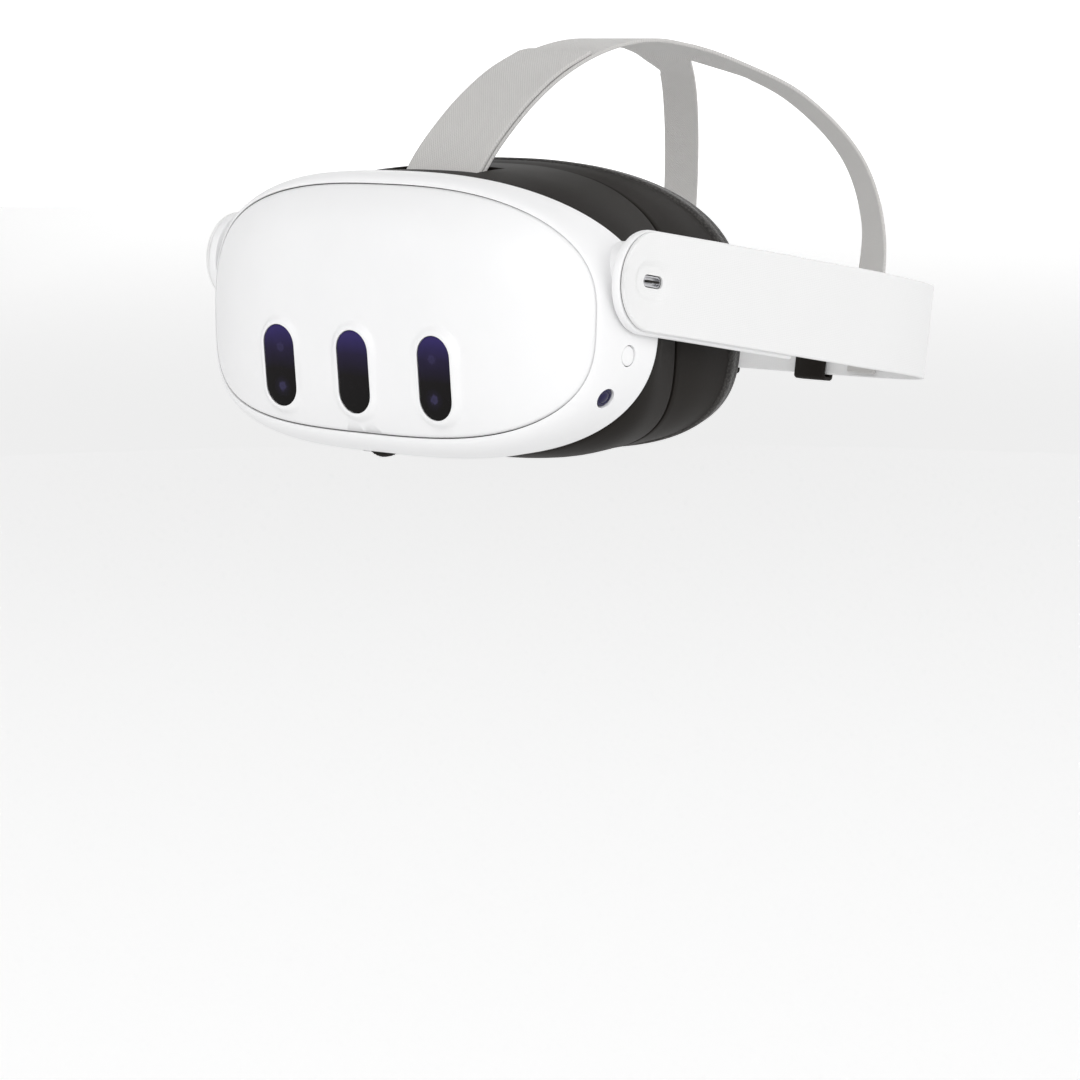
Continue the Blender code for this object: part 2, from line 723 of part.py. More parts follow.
def strap_stations(stop, radius, steps_arm=8, steps_back=14):
    """(x, u, half height, along) from the round front end to `stop` along the loop."""
    stations = []
    for degrees in (8, 25, 45, 65):
        angle = math.radians(degrees)
        stations.append((BAND_X, -radius * math.cos(angle), radius * math.sin(angle), 0.0))
    count = steps_arm if stop <= 1.0 else steps_arm + steps_back
    for i in range(count + 1):
        if stop <= 1.0:
            along = stop * i / count
        elif i <= steps_arm:
            along = i / steps_arm
        else:
            along = 1.0 + (i - steps_arm) / steps_back
        x, u = loop_point(along)
        stations.append((x, u, radius + 1.0 * min(along, 1.0), along))
    return stations


def band_rows(stations, inwards, drop=0.0):
    """Rows of points across the strap at each station, moved towards the head."""
    rows = []
    for x, u, half, along in stations:
        across, back = loop_normal(along)
        row = []
        for part in (-1.0, 0.0, 1.0):
            v = half * part - (drop if part < 0 else 0.0)
            row.append((x - across * inwards, u - back * inwards, v))
        rows.append(row)
    return rows


def make_head_band():
    left = band_rows(strap_stations(2.0, HUB_RADIUS), 0.0)
    right = [[(-x, u, v) for x, u, v in row] for row in left[-2::-1]]
    mesh = sheet_mesh(left + right)
    band = thickened(place("head_band", mesh, BAND, parent=pivot), BAND_WALL)

    # oval recess and slot for the charging port in the left hub, hole for the jack in the right arm
    turn = Matrix.Rotation(math.radians(90), 4, "Z")
    outline = [(z, x) for x, z in stadium(5.8, 8.8, 11)]
    recess = plate_mesh(outline, 4.0, Matrix.Translation((BAND_X + 4.2, -1.0, 0.0)) @ turn)
    cut(band, place("port_recess", recess, None, parent=pivot, collection=cutters))
    outline = [(z, x) for x, z in stadium(2.1, 5.1)]
    slot = plate_mesh(outline, 20.0, Matrix.Translation((BAND_X + 9.0, 0.0, 0.0)) @ turn)
    slot_cutter = place("port_slot", slot, None, parent=pivot, collection=cutters)
    cut(band, slot_cutter)
    hole = rod_mesh(2.9, (-80.0, 26.0, -6.0), (-100.0, 26.0, -6.0))
    jack_cutter = place("jack_hole", hole, None, parent=pivot, collection=cutters)
    cut(band, jack_cutter)
    return slot_cutter, jack_cutter


def make_arm_cores(slot_cutter, jack_cutter):
    inwards = BAND_WALL / 2 + GAP + CORE_WALL / 2
    for side, word in ((1, "left"), (-1, "right")):
        stations = strap_stations(CORE_LENGTH / LOOP_START, HUB_RADIUS + 0.4)
        rows = band_rows(stations, inwards, drop=0.8)
        rows = [[(side * x, u, v) for x, u, v in row] for row in rows]
        core = thickened(place(f"arm_core_{word}", sheet_mesh(rows), WHITE, parent=pivot), CORE_WALL)
        hole = rod_mesh(SLEEVE_RADIUS + 0.35, (side * 80.0, 0.0, 0.0), (side * (SLEEVE_END + GAP), 0.0, 0.0), 32)
        cut(core, place(f"core_sleeve_hole_{word}", hole, None, parent=pivot, collection=cutters))
        cut(core, slot_cutter if side > 0 else jack_cutter)
        speaker = block_mesh((3.4, 30.0, 12.0), centre=(side * 90.0, 56.0, -7.0))
        bevelled(place(f"speaker_{word}", speaker, BLACK, parent=pivot), 1.0)
        # the pivot is a hollow sleeve, so that the arm's wires can pass through it
        inside = SLEEVE_RADIUS - 1.6
        profile = (
            (SLEEVE_RADIUS, 0.0),
            (SLEEVE_RADIUS, -14.9),
            (SLEEVE_RADIUS + 1.8, -14.9),
            (SLEEVE_RADIUS + 1.8, -16.7),
            (inside, -16.7),
            (inside, 0.0),
        )
        centre = (side * SLEEVE_END, PIVOT_Y, PIVOT_Z)
        turned(f"pivot_sleeve_{word}", profile, centre, (side, 0, 0), STEEL, closed=True, steps=32)


def make_ports():
    turn = Matrix.Rotation(math.radians(90), 4, "Z")
    outer = [(z, x) for x, z in stadium(1.75, 4.7)]
    frame = Matrix.Translation((BAND_X - 0.4, 0.0, 0.0)) @ turn
    shell = place("usb_c_port", plate_mesh(outer, 2.2, frame), STEEL, parent=pivot)
    inner = [(z, x) for x, z in stadium(1.35, 4.3)]
    frame = Matrix.Translation((BAND_X + 1.0, 0.0, 0.0)) @ turn
    cut(shell, place("port_mouth", plate_mesh(inner, 2.6, frame), None, parent=pivot, collection=cutters))
    profile = ((2.6, 0.0), (2.6, -3.6), (1.75, -3.6), (1.75, 0.0))
    turned("audio_jack", profile, (-94.3, 26.0, -6.0), (-1, 0, 0), STEEL, closed=True, parent=pivot)


def make_sliders():
    back = LOOP_START + LOOP_DEEP
    for side, word in ((1, "left"), (-1, "right")):
        centre = (side * 22.0, back - 0.2, 0.0)
        outer = block_mesh((14.0, 7.4, 41.0), centre=centre)
        slider = place(f"strap_slider_{word}", outer, BLACK, centre, parent=pivot)
        inner = block_mesh((20.0, 4.6, 36.4), centre=centre)
        hole = place(f"slider_slot_{word}", inner, None, parent=pivot, collection=cutters)
        cut(slider, hole)
        bevelled(slider, 0.9)


# ---------------------------------------------------------------- top strap


def smooth_path(points, steps):
    """Points on a Catmull-Rom curve through the given ones."""
    knots = [Vector(point) for point in points]
    knots = [2 * knots[0] - knots[1]] + knots + [2 * knots[-1] - knots[-2]]
    path = []
    for a, b, c, d in zip(knots, knots[1:], knots[2:], knots[3:]):
        for i in range(steps):
            t = i / steps
            path.append(0.5 * (2 * b + (c - a) * t + (2 * a - 5 * b + 4 * c - d) * t**2 + (3 * b - 3 * c + d - a) * t**3))
    path.append(knots[-2])
    return path


def strap_local(point):
    """Headset millimetres to the head strap's own (x, u, v)."""
    shifted = Vector(point) - Vector((0.0, PIVOT_Y, PIVOT_Z))
    return Matrix.Rotation(-STRAP_TILT, 3, "X") @ shifted


def make_top_strap():
    lower_start = (57.0, 73.2)
    side = (lower_start,) + STRAP_SIDE[2:-1] + STRAP_CROWN[:-1]
    rows = []
    for point in smooth_path([(0.0, y, z) for y, z in side], 3):
        rows.append([(0.0, *point[1:]), (STRAP_HALF_WIDTH, *point[1:])])
    y, z = STRAP_CROWN[-1]
    rows.append([(0.0, (170.0 + y) / 2, 105.0), (18.0, 180.0, 105.0)])
    rows.append([(0.0, y, z), (20.2, 188.5, 102.4)])
    centre = Vector((0.0, 150.0, 20.0))
    branch = smooth_path(BRANCH, 4)
    for before, point, after in zip([branch[0]] + branch, branch, branch[1:] + [branch[-1]]):
        if point[1] < 198.0 and point[2] > 95.0:
            continue
        across = (after - before).cross(point - centre).normalized()
        if across.x < 0:
            across.negate()
        # the branch follows the side of the head, then lies flat against the inside of the band
        turn = min(max((88.0 - point.z) / 45.0, 0.0), 1.0)
        above_band = min(max((point.z - 18.0) / 20.0, 0.0), 1.0)
        angle = BRANCH_TURN_LOW + (BRANCH_TURN_HIGH - BRANCH_TURN_LOW) * above_band
        flat = Vector((math.cos(angle), -math.sin(angle), 0.0))
        across = across.lerp(flat, turn).normalized() * BRANCH_HALF_WIDTH
        rows.append([point - across, point + across])
    local = [[strap_local(point) for point in row] for row in rows]
    mesh = sheet_mesh(local)
    strap = place("top_strap", mesh, WEBBING, parent=pivot)
    mirror = strap.modifiers.new("halves", "MIRROR")
    mirror.use_axis = (True, False, False)
    mirror.merge_threshold = 0.00001
    thickened(strap, STRAP_THICK)

    # the free end folds back through the anchor and lies on top of the strap
    path = smooth_path([(0.0, y, z) for y, z in STRAP_SIDE[:-1]], 3)
    rows = []
    for before, point, after in zip([path[0]] + path, path, path[1:] + [path[-1]]):
        direction = (after - before).normalized()
        lifted = point + Vector((0.0, -direction.z, direction.y)) * (STRAP_THICK + 0.5)
        rows.append([(-STRAP_HALF_WIDTH, *lifted[1:]), (STRAP_HALF_WIDTH, *lifted[1:])])
    thickened(place("top_strap_tab", sheet_mesh(rows), WEBBING), STRAP_THICK)


def make_strap_anchor():
    """Plastic loop in a pocket of the housing; the strap runs under its bar."""
    anchor = place("strap_anchor", block_mesh((40.2, 5.0, 4.4), centre=(0.0, 50.6, 62.2)), BLACK)
    inner = block_mesh((35.0, 2.6, 9.0), centre=(0.0, 50.9, 62.2))
    cut(anchor, place("anchor_slot", inner, None, collection=cutters))
    bevelled(anchor, 0.5)


make_front_cover()
make_sensor_pods()
make_visor_shell()
make_side_details()
make_rear_housing()
make_lens_panel()
make_optics()
make_electronics()
make_facial_interface()
make_arm_cores(*make_head_band())
make_ports()
make_sliders()
make_top_strap()
make_strap_anchor()
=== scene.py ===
"""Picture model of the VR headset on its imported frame.

Shapes are written in headset millimetres, as in the CAD: x from the middle, y behind the front
cover, z above the centre of the sensor windows.  The band's own shapes use (x, u, v), where u runs
back along the tilted strap from its pivot and v is square to it.
"""

import json
import math

import bmesh
import bpy
import numpy as np
from mathutils import Matrix, Vector
from mathutils.geometry import delaunay_2d_cdt

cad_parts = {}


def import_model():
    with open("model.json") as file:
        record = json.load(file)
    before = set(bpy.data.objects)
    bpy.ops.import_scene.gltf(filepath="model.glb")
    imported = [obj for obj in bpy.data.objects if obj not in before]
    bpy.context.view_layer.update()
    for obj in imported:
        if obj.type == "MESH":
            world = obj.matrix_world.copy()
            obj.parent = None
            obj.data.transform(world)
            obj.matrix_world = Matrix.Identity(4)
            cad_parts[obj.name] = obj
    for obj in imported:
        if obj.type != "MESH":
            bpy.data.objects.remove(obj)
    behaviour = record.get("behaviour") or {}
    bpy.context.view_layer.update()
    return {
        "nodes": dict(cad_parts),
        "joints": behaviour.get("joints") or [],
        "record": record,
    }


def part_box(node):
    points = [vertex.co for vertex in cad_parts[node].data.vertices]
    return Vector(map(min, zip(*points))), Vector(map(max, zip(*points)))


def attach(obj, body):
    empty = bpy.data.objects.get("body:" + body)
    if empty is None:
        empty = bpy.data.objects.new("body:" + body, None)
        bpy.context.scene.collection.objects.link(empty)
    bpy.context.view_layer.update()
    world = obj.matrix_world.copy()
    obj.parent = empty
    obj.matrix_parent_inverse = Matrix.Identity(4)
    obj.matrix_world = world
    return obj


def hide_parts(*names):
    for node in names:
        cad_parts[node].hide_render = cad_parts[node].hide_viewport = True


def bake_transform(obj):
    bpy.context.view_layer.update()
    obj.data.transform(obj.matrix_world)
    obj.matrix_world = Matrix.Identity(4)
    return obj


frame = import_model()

MM = 0.001
GAP = 0.3
SEAM_GAP = 0.18

# -------- sizes


def node_box(node):
    """Lowest and highest corner of a CAD node, in world millimetres."""
    low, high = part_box(node)
    return low / MM, high / MM


def node_centre(node):
    low, high = node_box(node)
    return (low + high) / 2


cover_low, cover_high = node_box("front_cover")
shell_low, shell_high = node_box("visor_shell")

SEAM_MID = 20.4
SEAM_WIDE = cover_high.x + GAP
SEAM_HALF = (cover_high.z - cover_low.z) / 2 + GAP
ORIGIN = Vector((0.0, cover_low.y + 0.2, (cover_high.z + cover_low.z) / 2 - SEAM_MID))
SHELL_WIDE = 88.2
SHELL_HALF = (shell_high.z - shell_low.z) / 2
SHELL_MID = (shell_high.z + shell_low.z) / 2 - ORIGIN.z
UPPER_SQUARENESS = 2.55
LOWER_SQUARENESS = 3.1
CHEEK_SQUARENESS = 3.9
SHELL_WALL = 2.2
AROUND = 208

HOUSING_WALL = 2.0
HOUSING_BACK = 74.0
FLOOR = -ORIGIN.z
FOOT = FLOOR - 0.7
RIM_MIDDLE = 92.0
RIM_SIDE = 119.0
RIM_WIDE = 75.5
PAD_DEPTH = 9.6

WINDOW_HALF_WIDTH = 6.9
WINDOW_HALF_HEIGHT = 14.0
WINDOW_SPACING = 34.6
POD_RISE = 0.5
POD_LEAN = 0.088
POD_GAP = 0.1
EYE_Z = 16.0
TUBE_RADIUS = 25.0

strap_joint = next(joint for joint in frame["joints"] if joint["name"] == "strap_pivot")
PIVOT_Y = strap_joint["pos_m"][1] / MM - ORIGIN.y
PIVOT_Z = strap_joint["pos_m"][2] / MM - ORIGIN.z
STRAP_TILT = math.radians(-9.5)
HUB_RADIUS = 16.3
BOSS_RADIUS = 12.5
BAND_X = 93.0
SLEEVE_END = 91.0
BAND_WALL = 1.6
LOOP_WIDE = 98.0
LOOP_START = 122.0
LOOP_DEEP = 84.5
LOOP_SQUARENESS = 3.2
CORE_WALL = 2.4
CORE_LENGTH = 80.0
SLEEVE_RADIUS = 7.2
PORT_CENTRE = (-1.0, 0.0)
PORT_HALF = (8.8, 5.8)
JACK_CENTRE = (26.0, -6.0)

STRAP_HALF_WIDTH = 16.5
STRAP_THICK = 1.5
STRAP_SIDE = (
    (45.5, 60.6), (53.0, 69.4), (63.0, 78.4), (76.0, 88.0), (92.0, 97.0), (111.0, 104.2), (131.0, 108.4)
)
STRAP_CROWN = ((150.0, 109.2), (170.0, 107.0))
BRANCH_HALF_WIDTH = 6.8
BRANCH_TURN_HIGH = math.radians(21.0)
BRANCH_TURN_LOW = math.radians(9.7)
BRANCH = (
    (11.4, 195.5, 101.8),
    (26.8, 220.0, 88.3),
    (39.8, 239.2, 66.2),
    (46.0, 246.2, 40.0),
    (47.5, 242.0, 12.0),
    (47.5, 237.0, -16.8),
)

# -------- camera, floor and light


def world(x, y, z):
    """World position, in metres, of a point in headset millimetres."""
    return (Vector((x, y, z)) + ORIGIN) * MM


camera_data = bpy.data.cameras.new("camera")
camera_data.lens = 105.0
camera_data.sensor_width = 36.0
camera_data.clip_end = 20.0
camera = bpy.data.objects.new("camera", camera_data)
bpy.context.scene.collection.objects.link(camera)
camera.location = world(703.8, -778.6, 110.4)
camera.rotation_euler = (math.radians(90.0 - 9.07), 0.0, math.radians(38.71))
bpy.context.scene.camera = camera


def area_light(name, place, target, size, power):
    data = bpy.data.lights.new(name, "AREA")
    data.shape = "DISK"
    data.size = size
    data.energy = power
    light = bpy.data.objects.new(name, data)
    bpy.context.scene.collection.objects.link(light)
    light.location = place
    light.rotation_euler = (Vector(target) - Vector(place)).to_track_quat("-Z", "Y").to_euler()


area_light("key", (0.8, -1.7, 1.0), (0.0, -0.05, 0.05), 1.1, 9.0)
area_light("top", (0.1, -0.2, 1.7), (0.0, 0.0, 0.05), 1.5, 2.5)
area_light("fill", (-1.6, -0.9, 0.6), (0.0, -0.05, 0.05), 1.4, 0.8)
area_light("back", (-0.3, 1.7, 1.0), (0.0, 0.0, 0.05), 1.3, 1.0)

bpy.context.scene.view_settings.view_transform = "Standard"

surroundings = bpy.data.worlds.new("surroundings")
surroundings.use_nodes = True
surroundings.node_tree.nodes["Background"].inputs["Color"].default_value = (0.95, 0.95, 0.95, 1.0)
surroundings.node_tree.nodes["Background"].inputs["Strength"].default_value = 0.4
bpy.context.scene.world = surroundings

# -------- materials


class Look:
    """A material made from nodes, with short calls for adding and linking them."""

    def __init__(self, name, colour, roughness, **sockets):
        self.material = bpy.data.materials.new(name)
        self.material.use_nodes = True
        self.nodes = self.material.node_tree.nodes
        self.links = self.material.node_tree.links
        self.shader = self.nodes["Principled BSDF"]
        self.set("Base Color", (*colour, 1.0))
        self.set("Roughness", roughness)
        for socket, value in sockets.items():
            self.set(socket.replace("_", " "), value)

    def set(self, socket, value):
        self.shader.inputs[socket].default_value = value

    def node(self, kind, settings=None, **inputs):
        """New node with its inputs set or linked, by name or by number as in i0."""
        made = self.nodes.new(kind)
        for key, value in (settings or {}).items():
            setattr(made, key, value)
        for key, value in inputs.items():
            numbered = key[0] == "i" and key[1:].isdigit()
            target = made.inputs[int(key[1:]) if numbered else key.replace("_", " ")]
            if isinstance(value, bpy.types.NodeSocket):
                self.links.new(value, target)
            else:
                target.default_value = value
        return made

    def coords(self, kind="Object"):
        return self.node("ShaderNodeTexCoord").outputs[kind]

    def noise(self, coords, scale, detail=3.0, roughness=0.5):
        made = self.node("ShaderNodeTexNoise", Vector=coords, Scale=scale, Detail=detail, Roughness=roughness)
        return made.outputs["Fac"]

    def wave(self, coords, scale, direction):
        settings = {"wave_type": "BANDS", "bands_direction": direction, "wave_profile": "SIN"}
        made = self.node("ShaderNodeTexWave", settings, Vector=coords, Scale=scale, Distortion=0.0)
        return made.outputs["Fac"]

    def math(self, operation, first, second=0.0):
        return self.node("ShaderNodeMath", {"operation": operation}, i0=first, i1=second).outputs[0]

    def vector(self, operation, first, second=(0.0, 0.0, 0.0)):
        made = self.node("ShaderNodeVectorMath", {"operation": operation}, i0=first, i1=second)
        return made.outputs["Value" if operation in ("LENGTH", "DOT_PRODUCT") else "Vector"]

    def cells(self, coords, scale, distance="EUCLIDEAN"):
        made = self.node("ShaderNodeTexVoronoi", {"distance": distance}, Vector=coords, Scale=scale)
        return made.outputs["Distance"]

    def ramp(self, fac, stops):
        made = self.node("ShaderNodeValToRGB", Fac=fac)
        elements = made.color_ramp.elements
        for element, (position, colour) in zip(elements, (stops[0], stops[-1])):
            element.position = position
            element.color = (*colour, 1.0)
        for position, colour in stops[1:-1]:
            elements.new(position).color = (*colour, 1.0)
        return made.outputs["Color"]

    def between(self, fac, low, high, start=0.0, stop=1.0):
        made = self.node("ShaderNodeMapRange", i0=fac, i1=start, i2=stop, i3=low, i4=high)
        return made.outputs[0]

    def link(self, value, socket):
        self.links.new(value, self.shader.inputs[socket])

    def bump(self, height, distance, strength=1.0):
        made = self.node("ShaderNodeBump", Height=height, Distance=distance, Strength=strength)
        return made.outputs["Normal"]


def moulded(name, dark, light, roughness, grain=0.00003, scale=2600.0, specular=0.5):
    """Moulded plastic: fine spark-eroded grain, with slow changes of tone and gloss."""
    look = Look(name, light, roughness, Specular_IOR_Level=specular)
    coords = look.coords()
    slow = look.noise(coords, 38.0, 4.0)
    fine = look.noise(coords, scale, 2.0)
    look.link(look.ramp(slow, ((0.25, dark), (0.75, light))), "Base Color")
    gloss = look.between(slow, roughness - 0.04, roughness + 0.04)
    look.link(look.math("ADD", gloss, look.between(fine, -0.04, 0.04)), "Roughness")
    look.link(look.bump(fine, grain, 0.7), "Normal")
    return look.material


def woven(name, dark, light, along, across, depth, diagonal=0.0, sheen=0.25):
    """Fabric with ribs along and threads across, on the mesh's own lengths in metres."""
    look = Look(name, light, 0.85)
    look.set("Sheen Weight", sheen)
    look.set("Sheen Roughness", 0.45)
    turned_coords = look.node("ShaderNodeMapping", Vector=look.coords("UV"), Rotation=(0.0, 0.0, diagonal))
    coords = turned_coords.outputs[0]
    ribs = look.wave(coords, 0.314 / across, "Y")
    threads = look.wave(coords, 0.314 / along, "X")
    fuzz = look.noise(look.coords(), 5200.0, 3.0)
    cloth = look.math("MULTIPLY", look.math("ADD", ribs, look.math("MULTIPLY", threads, 0.6)), 0.62)
    height = look.math("ADD", cloth, look.math("MULTIPLY", fuzz, 0.35))
    slow = look.noise(look.coords(), 60.0, 3.0)
    tone = look.math("ADD", look.math("MULTIPLY", cloth, 0.75), look.math("MULTIPLY", slow, 0.25))
    look.link(look.ramp(tone, ((0.05, dark), (0.8, light))), "Base Color")
    look.link(look.between(fuzz, 0.78, 0.95), "Roughness")
    look.link(look.bump(height, depth), "Normal")
    return look.material


LENS_REACH = 0.0042
LENS_GLOW = (
    (0.0, (0.022, 0.020, 0.052)),
    (0.25, (0.030, 0.026, 0.07)),
    (0.45, (0.004, 0.003, 0.010)),
    (0.95, (0.0, 0.0, 0.0)),
)


def smoked_glass():
    """Smoked window: black below and blue at its top, a painted reflection, with faint round lenses behind
    the outer two.
    """
    look = Look("dark_glass", (0.01, 0.01, 0.03), 0.07, Specular_IOR_Level=0.12)
    coords = look.coords()
    low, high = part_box("sensor_window_center")
    height = look.node("ShaderNodeSeparateXYZ", Vector=coords).outputs["Z"]
    up = look.between(height, 0.0, 1.0, low.z, high.z)
    reflection_height = look.math("ADD", up, look.between(look.noise(coords, 90.0), -0.06, 0.06))
    # painted reflection: black low on the glass, turning blue towards its top
    stops = (
        (0.0, (0.0035, 0.0032, 0.0028)),
        (0.45, (0.0055, 0.0042, 0.0050)),
        (0.72, (0.014, 0.0095, 0.034)),
        (0.95, (0.029, 0.020, 0.105)),
    )
    colour = look.ramp(reflection_height, stops)
    wobble = look.between(look.noise(coords, 900.0), -0.0011, 0.0011)
    for node in ("camera_left_upper", "camera_left_lower", "camera_right_upper", "camera_right_lower"):
        low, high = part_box(node)
        centre = (low + high) / 2
        offset = look.vector("SUBTRACT", coords, tuple(centre))
        away = look.vector("LENGTH", look.vector("MULTIPLY", offset, (1.0, 0.0, 1.0)))
        part = look.math("DIVIDE", look.math("ADD", away, wobble), LENS_REACH)
        bright = 1.0 if "lower" in node else 0.45
        glow = look.ramp(part, [(place, [bright * tone for tone in tones]) for place, tones in LENS_GLOW])
        added = {"data_type": "RGBA", "blend_type": "ADD"}
        colour = look.node("ShaderNodeMix", added, i0=1.0, i6=colour, i7=glow).outputs[2]
    look.link(colour, "Base Color")
    look.link(look.between(look.noise(coords, 700.0), 0.05, 0.09), "Roughness")
    return look.material


def lens_material():
    look = Look("lens_glass", (0.86, 0.92, 0.95), 0.03, Transmission_Weight=0.9, IOR=1.49, Coat_Weight=0.5)
    coords = look.coords()
    tints = ((0.3, (0.80, 0.88, 0.96)), (0.7, (0.88, 0.84, 0.96)))
    look.link(look.ramp(look.noise(coords, 25.0), tints), "Base Color")
    look.link(look.between(look.noise(coords, 900.0), 0.015, 0.05), "Roughness")
    return look.material


def metal(name, colour, roughness, scale=(400.0, 400.0, 4000.0)):
    """Turned or brushed metal with fine lines."""
    look = Look(name, colour, roughness, Metallic=1.0)
    stretched = look.node("ShaderNodeMapping", Vector=look.coords(), Scale=scale).outputs[0]
    lines = look.noise(stretched, 1.0, 3.0)
    darker = tuple(0.85 * part for part in colour)
    look.link(look.ramp(lines, ((0.3, darker), (0.7, colour))), "Base Color")
    look.link(look.between(lines, roughness - 0.08, roughness + 0.1), "Roughness")
    look.link(look.bump(lines, 0.00001, 0.5), "Normal")
    return look.material


def knitted_foam():
    """Fine knitted cover over foam: small round loops."""
    look = Look("foam", (0.05, 0.046, 0.043), 0.95, Sheen_Weight=0.35, Sheen_Roughness=0.5)
    coords = look.coords()
    loops = look.cells(coords, 1150.0)
    fuzz = look.noise(coords, 6000.0, 2.0)
    height = look.math("ADD", look.math("MULTIPLY", loops, -1.0), look.math("MULTIPLY", fuzz, 0.4))
    tones = ((0.1, (0.060, 0.056, 0.052)), (0.75, (0.022, 0.020, 0.019)))
    look.link(look.ramp(loops, tones), "Base Color")
    look.link(look.between(fuzz, 0.85, 1.0), "Roughness")
    look.link(look.bump(height, 0.00025, 0.8), "Normal")
    return look.material


def circuit_board():
    look = Look("circuit_board", (0.02, 0.1, 0.05), 0.45)
    coords = look.coords()
    cells = look.cells(coords, 260.0, "CHEBYCHEV")
    look.link(look.ramp(cells, ((0.3, (0.012, 0.07, 0.035)), (0.5, (0.03, 0.14, 0.06)))), "Base Color")
    look.link(look.bump(cells, 0.0001, 0.5), "Normal")
    return look.material


BLACK = (0.0095, 0.0075, 0.006), (0.013, 0.0105, 0.0085)
WRAP = (0.07, 0.07, 0.08), (0.11, 0.11, 0.12)
GREY = (0.50, 0.49, 0.48), (0.60, 0.59, 0.575)
WHITE = (0.79, 0.79, 0.79), (0.82, 0.82, 0.82)
LOOKS = {
    "white_plastic": moulded("white_plastic", (0.86, 0.86, 0.865), (0.88, 0.88, 0.885), 0.42),
    "black_plastic": moulded("black_plastic", *BLACK, 0.58, 0.00006, 1900.0, 0.15),
    "foam": knitted_foam(),
    "dark_glass": smoked_glass(),
    "lens_glass": lens_material(),
    "grey_webbing": woven("grey_webbing", *GREY, 0.0009, 0.0008, 0.00012, 0.6),
    "white_band": woven("white_band", *WHITE, 0.0011, 0.0006, 0.00003, 0.0, 0.1),
    "steel": metal("steel", (0.58, 0.58, 0.6), 0.3),
    "aluminium": metal("aluminium", (0.72, 0.73, 0.74), 0.38),
    "circuit_board": circuit_board(),
    "battery_wrap": moulded("battery_wrap", *WRAP, 0.35, 0.00008, 500.0),
}

# -------- making pieces


def grid_faces(rows, wrap_rows=False, wrap_columns=False):
    """Vertices, quads and lengths along and across for a grid of points."""
    grid = np.array(rows, float)
    count_rows, count_columns = grid.shape[:2]
    full = np.concatenate([grid, grid[:1]]) if wrap_rows else grid
    full = np.concatenate([full, full[:, :1]], axis=1) if wrap_columns else full
    steps = np.linalg.norm(np.diff(full, axis=0), axis=2).mean(axis=1)
    along = np.concatenate([[0.0], np.cumsum(steps)]) * MM
    widest = np.linalg.norm(np.diff(full, axis=1), axis=2).max(axis=0)
    across = np.concatenate([[0.0], np.cumsum(widest)]) * MM
    faces = []
    lengths = []
    for i in range(full.shape[0] - 1):
        for j in range(full.shape[1] - 1):
            corners = ((i, j), (i, j + 1), (i + 1, j + 1), (i + 1, j))
            faces.append([(a % count_rows) * count_columns + b % count_columns for a, b in corners])
            lengths += [(along[a], across[b]) for a, b in corners]
    return grid.reshape(-1, 3), faces, lengths


def made(name, points, faces, slot, body, stands_for=(), lengths=None, sharp=38.0, outward=True):
    """Object from points in headset millimetres, riding on a CAD body."""
    mesh = bpy.data.meshes.new(name)
    mesh.from_pydata([(Vector(point) + ORIGIN) * MM for point in points], [], faces)
    if lengths:
        layer = mesh.uv_layers.new(name="lengths")
        layer.data.foreach_set("uv", [part for pair in lengths for part in pair])
    build = bmesh.new()
    build.from_mesh(mesh)
    bmesh.ops.remove_doubles(build, verts=build.verts, dist=0.000002)
    if outward:
        bmesh.ops.recalc_face_normals(build, faces=build.faces)
    build.to_mesh(mesh)
    build.free()
    mesh.materials.append(LOOKS[slot])
    mesh.shade_smooth()
    mesh.set_sharp_from_angle(angle=math.radians(sharp))
    obj = bpy.data.objects.new(name, mesh)
    bpy.context.scene.collection.objects.link(obj)
    if body:
        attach(obj, body)
    if stands_for:
        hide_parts(*stands_for)
    return obj


def grid_piece(name, rows, slot, body, stands_for=(), wrap_rows=False, wrap_columns=False):
    points, faces, lengths = grid_faces(rows, wrap_rows, wrap_columns)
    return made(name, points, faces, slot, body, stands_for, lengths)


def row_face(rows, index):
    """Face that closes the end of a grid at one of its rows."""
    count = len(rows[0])
    first = index % len(rows) * count
    return tuple(range(first, first + count))


def fixed(obj, sharp=38.0):
    """Put an object's modifiers into its mesh."""
    bpy.context.view_layer.update()
    graph = bpy.context.evaluated_depsgraph_get()
    final = obj.evaluated_get(graph)
    mesh = bpy.data.meshes.new_from_object(final, preserve_all_data_layers=True, depsgraph=graph)
    obj.modifiers.clear()
    obj.data = mesh
    mesh.shade_smooth()
    mesh.set_sharp_from_angle(angle=math.radians(sharp))


def softened(obj, width, segments=3, angle=35.0):
    bevel = obj.modifiers.new("edge", "BEVEL")
    bevel.width = width * MM
    bevel.segments = segments
    bevel.limit_method = "ANGLE"
    bevel.angle_limit = math.radians(angle)
    bevel.harden_normals = False
    return obj


def carved(obj, *cutters):
    """Cut shapes, given as (points, faces), out of an object."""
    for points, faces in cutters:
        tool = made("cutter", points, faces, "black_plastic", None)
        boolean = obj.modifiers.new("cut", "BOOLEAN")
        boolean.operation = "DIFFERENCE"
        boolean.solver = "EXACT"
        boolean.object = tool
        fixed(obj)
        bpy.data.objects.remove(tool, do_unlink=True)


def circle(radius, count):
    """Points evenly round a circle."""
    angles = [2.0 * math.pi * i / count for i in range(count)]
    return [(radius * math.cos(angle), radius * math.sin(angle)) for angle in angles]


def extruded(outline, thickness, place_at):
    """Flat outline of (across, up) extruded along the frame's own Y."""
    near = [place_at @ Vector((x, 0.0, z)) for x, z in outline]
    far = [place_at @ Vector((x, thickness, z)) for x, z in outline]
    count = len(outline)
    faces = [(i, (i + 1) % count, count + (i + 1) % count, count + i) for i in range(count)]
    faces += [tuple(range(count)), tuple(range(count, 2 * count))]
    return near + far, faces


